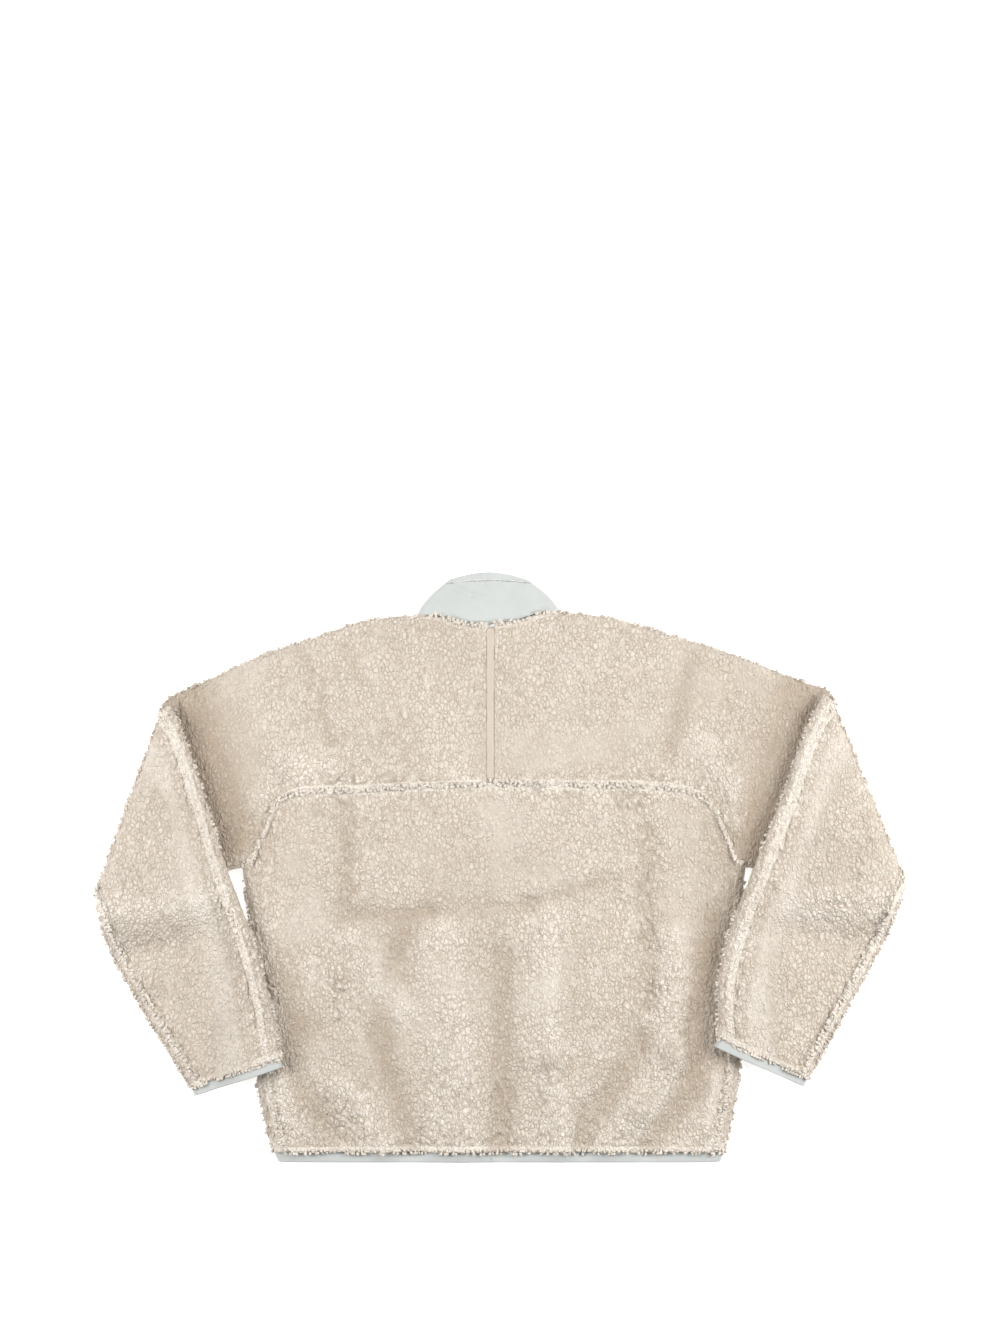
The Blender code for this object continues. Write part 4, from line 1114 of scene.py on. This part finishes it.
for side in (-1, 1):
    for back in (True, False):
        half = "back" if back else "front"
        columns = points_along(235.0 if back else 180.0)

        def grid_at(depth):
            return yoke_sleeve_grid(side, back, depth, points_along(290.0), 15, points_along(480.0), columns)

        make_fleece(f"yoke_sleeve_{half}_{side_name(side)}", grid_at,
                    (side * -0.3, 1.0, 0.0), sleeve_rough,
                    (0,) if back else (0, 3))
    make_fleece(f"front_{side_name(side)}", lambda depth: front_grid(side, depth, 12, 85, 121),
                (0.0, 1.0, 0.0), body_rough)
    make_trim(f"cuff_band_{side_name(side)}", f"cuff_binding_{side_name(side)}", (0.25, 0.013), "laid",
              cuff_grid(side, TRIM_INSET, 121, 9), cuff_grid(side, TRIM_INSET + TRIM_WALL, 121, 9), tube=True)
make_fleece("back_panel", lambda depth: back_panel_grid(depth, points_along(300.0), points_along(440.0)),
            (0.0, 1.0, 0.0), body_rough)
strip = mesh_from("back_strip_tape", strip_grid(STRIP_LIFT, 9, 97), strip_grid(0.0, 9, 97), STRIP)
dress(strip, "back_strip")
make_trim("collar_shell", "collar", (0.30, 0.07), "folded",
          *(creased(collar_grid(0.0, COLLAR_EDGE - 0.01, depth, 65, 13, 41)) for depth in (0.0, COLLAR_WALL)))
make_trim("collar_edge", "collar_binding", (0.27, 0.013), "folded",
          *(collar_grid(COLLAR_EDGE, 1.0, depth, 33, 13, 9) for depth in (0.0, COLLAR_WALL)))
make_trim("hem_band", "hem_binding", (1.13, 0.014), "laid",
          *(hem_grid(depth, 241, 9) for depth in (0.0, TRIM_WALL)))


class Group:
    """A geometry node group with named inputs."""

    def __init__(self, name, **inputs):
        self.tree = bpy.data.node_groups.new(name, "GeometryNodeTree")
        self.tree.interface.new_socket("Geometry", in_out="INPUT", socket_type="NodeSocketGeometry")
        self.tree.interface.new_socket("Geometry", in_out="OUTPUT", socket_type="NodeSocketGeometry")
        self.sockets = {}
        for label, value in inputs.items():
            kind = {float: "Float", int: "Int"}.get(type(value), "Material")
            made = self.tree.interface.new_socket(label, in_out="INPUT", socket_type="NodeSocket" + kind)
            self.sockets[label] = (made.identifier, value)
        self.start = self.tree.nodes.new("NodeGroupInput").outputs
        self.end = self.tree.nodes.new("NodeGroupOutput").inputs

    def node(self, kind, settings, sockets):
        return add_node(self.tree, kind, settings, sockets).outputs[0]

    def field(self, label, kind="FLOAT"):
        """A value that each point carries."""
        return self.node("GeometryNodeInputNamedAttribute", {"data_type": kind}, {"Name": label})

    def apply(self, name, points, values):
        """Grow the group on bare points and keep what it makes as a mesh of its own."""
        seeds = bpy.data.meshes.new(name + "_points")
        seeds.from_pydata((points * MM).tolist(), [], [])
        for label, value in values.items():
            kind = "FLOAT_VECTOR" if value.ndim == 2 else "FLOAT"
            layer = seeds.attributes.new(label, kind, "POINT")
            layer.data.foreach_set("vector" if value.ndim == 2 else "value", value.astype(np.float32).ravel())
        host = bpy.data.objects.new(name + "_host", seeds)
        bpy.context.scene.collection.objects.link(host)
        grow = host.modifiers.new(name, "NODES")
        grow.node_group = self.tree
        for identifier, value in self.sockets.values():
            grow[identifier] = value
        ready = host.evaluated_get(bpy.context.evaluated_depsgraph_get())
        mesh = bpy.data.meshes.new_from_object(ready)
        made = bpy.data.objects.new(name, mesh)
        bpy.context.scene.collection.objects.link(made)
        bpy.data.objects.remove(host, do_unlink=True)
        return made


def lump_group(name, material, radius, length, sides=6, rings=4):
    """One lump on each point: lean is its axis, size its share of the full size."""
    group = Group(name, Radius=radius * MM, Length=length * MM, Sides=sides, Rings=rings, Finish=material)
    start = group.start
    lump = group.node("GeometryNodeMeshUVSphere", {},
                      {"Segments": start["Sides"], "Rings": start["Rings"], "Radius": 1.0})
    lump = group.node("GeometryNodeSetShadeSmooth", {}, {"Geometry": lump})
    turn = group.node("FunctionNodeAlignRotationToVector", {"axis": "Z"},
                      {"Vector": group.field("lean", "FLOAT_VECTOR")})
    across, along = (group.node("ShaderNodeMath", {"operation": "MULTIPLY"}, {0: group.field("size"), 1: full})
                     for full in (start["Radius"], start["Length"]))
    scale = group.node("ShaderNodeCombineXYZ", {}, {"X": across, "Y": across, "Z": along})
    placed = group.node("GeometryNodeInstanceOnPoints", {},
                        {"Points": start["Geometry"], "Instance": lump, "Rotation": turn, "Scale": scale})
    real = group.node("GeometryNodeRealizeInstances", {}, {"Geometry": placed})
    final = group.node("GeometryNodeSetMaterial", {}, {"Geometry": real, "Material": start["Finish"]})
    group.tree.links.new(final, group.end["Geometry"])
    return group


def finish_lumps(lumps_made):
    """Let the lumps lie with the jacket."""
    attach(lumps_made, "root")


STITCHES = []                # rows of place, lean and size


def sew(line, lift, pitch=3.6, uneven=0.0, thick=1.0):
    """Note a row of stitches along a line of points on the cloth; lift is the way off the cloth."""
    reach = reach_along(line, 0)
    at = np.arange(pitch / 2, reach[-1], pitch)
    picks = np.random.default_rng(len(line))
    at = at + uneven * picks.uniform(-1.0, 1.0, len(at))
    place = np.stack([np.interp(at, reach, line[:, axis]) for axis in range(3)], axis=-1)
    ahead = np.stack([np.interp(at + 0.5, reach, line[:, axis]) for axis in range(3)], axis=-1)
    way = unit(ahead - place)
    size = thick * (1.0 + uneven * picks.uniform(-0.3, 0.3, len(at)))
    STITCHES.append(np.column_stack([place + np.array(lift), way, size]))


def sew_collar():
    """The row of stitches that holds the collar's turned top edge, over the back."""
    for side in (-1, 1):
        turns = np.linspace(0.0, 0.92, 60)
        sew(collar_point(side, turns, np.full(60, COLLAR_EDGE - 0.03), -0.1), (0.0, 0.0, 0.0), 4.6, 0.7, 1.5)


def sew_underarms():
    """Flat seams under the arms: two rows of stitches on the front half, beside the seam."""
    for side in (-1, 1):
        sleeve = yoke_sleeve_grid(side, False, 0.0, 12, 4, 121, 60)[12 + 4:]
        upper = sleeve[sleeve[:, -1, 2] > STACK + 1.0]
        for column in (-1, -3):
            sew(upper[:, column], (0.0, 0.0, 0.9), 3.2, 0.2)


def sew_strip():
    """The four rows of stitches that hold the strip down the yoke."""
    grid = strip_grid(STRIP_LIFT, 9, 97)
    for column in (1, 3, 5, 7):
        sew(grid[column], (0.0, 0.0, 0.05), 2.6, 0.1, 0.8)


def make_stitches():
    """All the rows of stitches as one mesh."""
    sew_collar()
    sew_underarms()
    sew_strip()
    rows = np.concatenate(STITCHES)
    group = lump_group("stitch", THREAD, 0.38, 1.35)
    finish_lumps(group.apply("stitches", rows[:, :3], {"lean": rows[:, 3:6], "size": rows[:, 6]}))


def make_zip_teeth():
    """The closed zip's teeth, which mesh from both sides of the chain, and its tape's and slider's finishes."""
    run = np.array(ZIP_RUN)
    y = np.arange(run[0, 0] + 1.0, run[-1, 0] - 1.0, TOOTH_PITCH / 2)
    side = np.where(np.arange(len(y)) % 2 == 0, 1.0, -1.0)
    z = np.interp(y, run[:, 0], run[:, 1]) - CHAIN_DEPTH + 0.4
    place = np.stack([CENTRE_X + side * CHAIN_HALF * 0.35, y, z], axis=-1)
    lean = np.stack([side, np.zeros(len(y)), np.zeros(len(y))], axis=-1)
    group = lump_group("zip_tooth", TOOTH, 0.75, 1.9)
    finish_lumps(group.apply("zip_teeth", place, {"lean": lean, "size": np.ones(len(y))}))
    bpy.data.objects["front_zip"].material_slots[0].material = TAPE
    bpy.data.objects["zip_slider"].material_slots[0].material = METAL


def make_tufts():
    """All the tufts as one mesh, with no painted crease shade on them."""
    rows = np.concatenate(TUFTS)
    ones = np.ones(len(rows))
    group = lump_group("curled_tuft", FLEECE, 1.6, 2.4)
    looks = {"tone_and_painted_shading": rows[:, 7], "rough": SMOOTHEST * ones, "crevice": ones}
    tufts = group.apply("fleece_tufts", rows[:, :3], {"lean": rows[:, 3:6], "size": rows[:, 6], **looks})
    finish_lumps(tufts)


make_tufts()
make_stitches()
make_zip_teeth()


def make_floor_and_lights():
    """A plain pale floor, an even world and three soft lights."""
    mesh = bpy.data.meshes.new("floor")
    mesh.from_pydata([(-4, -4, 0), (4, -4, 0), (4, 4, 0), (-4, 4, 0)], [], [(0, 1, 2, 3)])
    mesh.materials.append(FLOOR)
    floor = bpy.data.objects.new("floor", mesh)
    bpy.context.scene.collection.objects.link(floor)
    world = bpy.data.worlds.new("studio")
    bpy.context.scene.world = world
    world.use_nodes = True
    sky = world.node_tree.nodes["Background"].inputs
    sky["Color"].default_value = (1.0, 1.0, 1.0, 1.0)
    sky["Strength"].default_value = 0.27
    for name, place, size, power in (("left", (-1.8, 0.2, 1.5), 1.2, 40.0),
                                     ("right", (1.8, 0.2, 1.5), 1.2, 46.0),
                                     ("top", (0.2, 1.2, 1.9), 1.0, 14.0)):
        light = bpy.data.lights.new(name, "AREA")
        light.size = size
        light.energy = power
        lamp = bpy.data.objects.new(name, light)
        lamp.location = place
        lamp.rotation_mode = "QUATERNION"
        lamp.rotation_quaternion = (-lamp.location).to_track_quat("-Z", "Y")
        bpy.context.scene.collection.objects.link(lamp)
    bpy.context.scene.view_settings.view_transform = "Standard"


def make_camera():
    """Straight down from above, as the photograph was taken."""
    lens = bpy.data.cameras.new("camera")
    lens.lens = 135.0
    lens.sensor_width = 36.0
    camera = bpy.data.objects.new("camera", lens)
    camera.location = (-0.0006, 0.24, 6.02)
    bpy.context.scene.collection.objects.link(camera)
    bpy.context.scene.camera = camera


make_floor_and_lights()
make_camera()
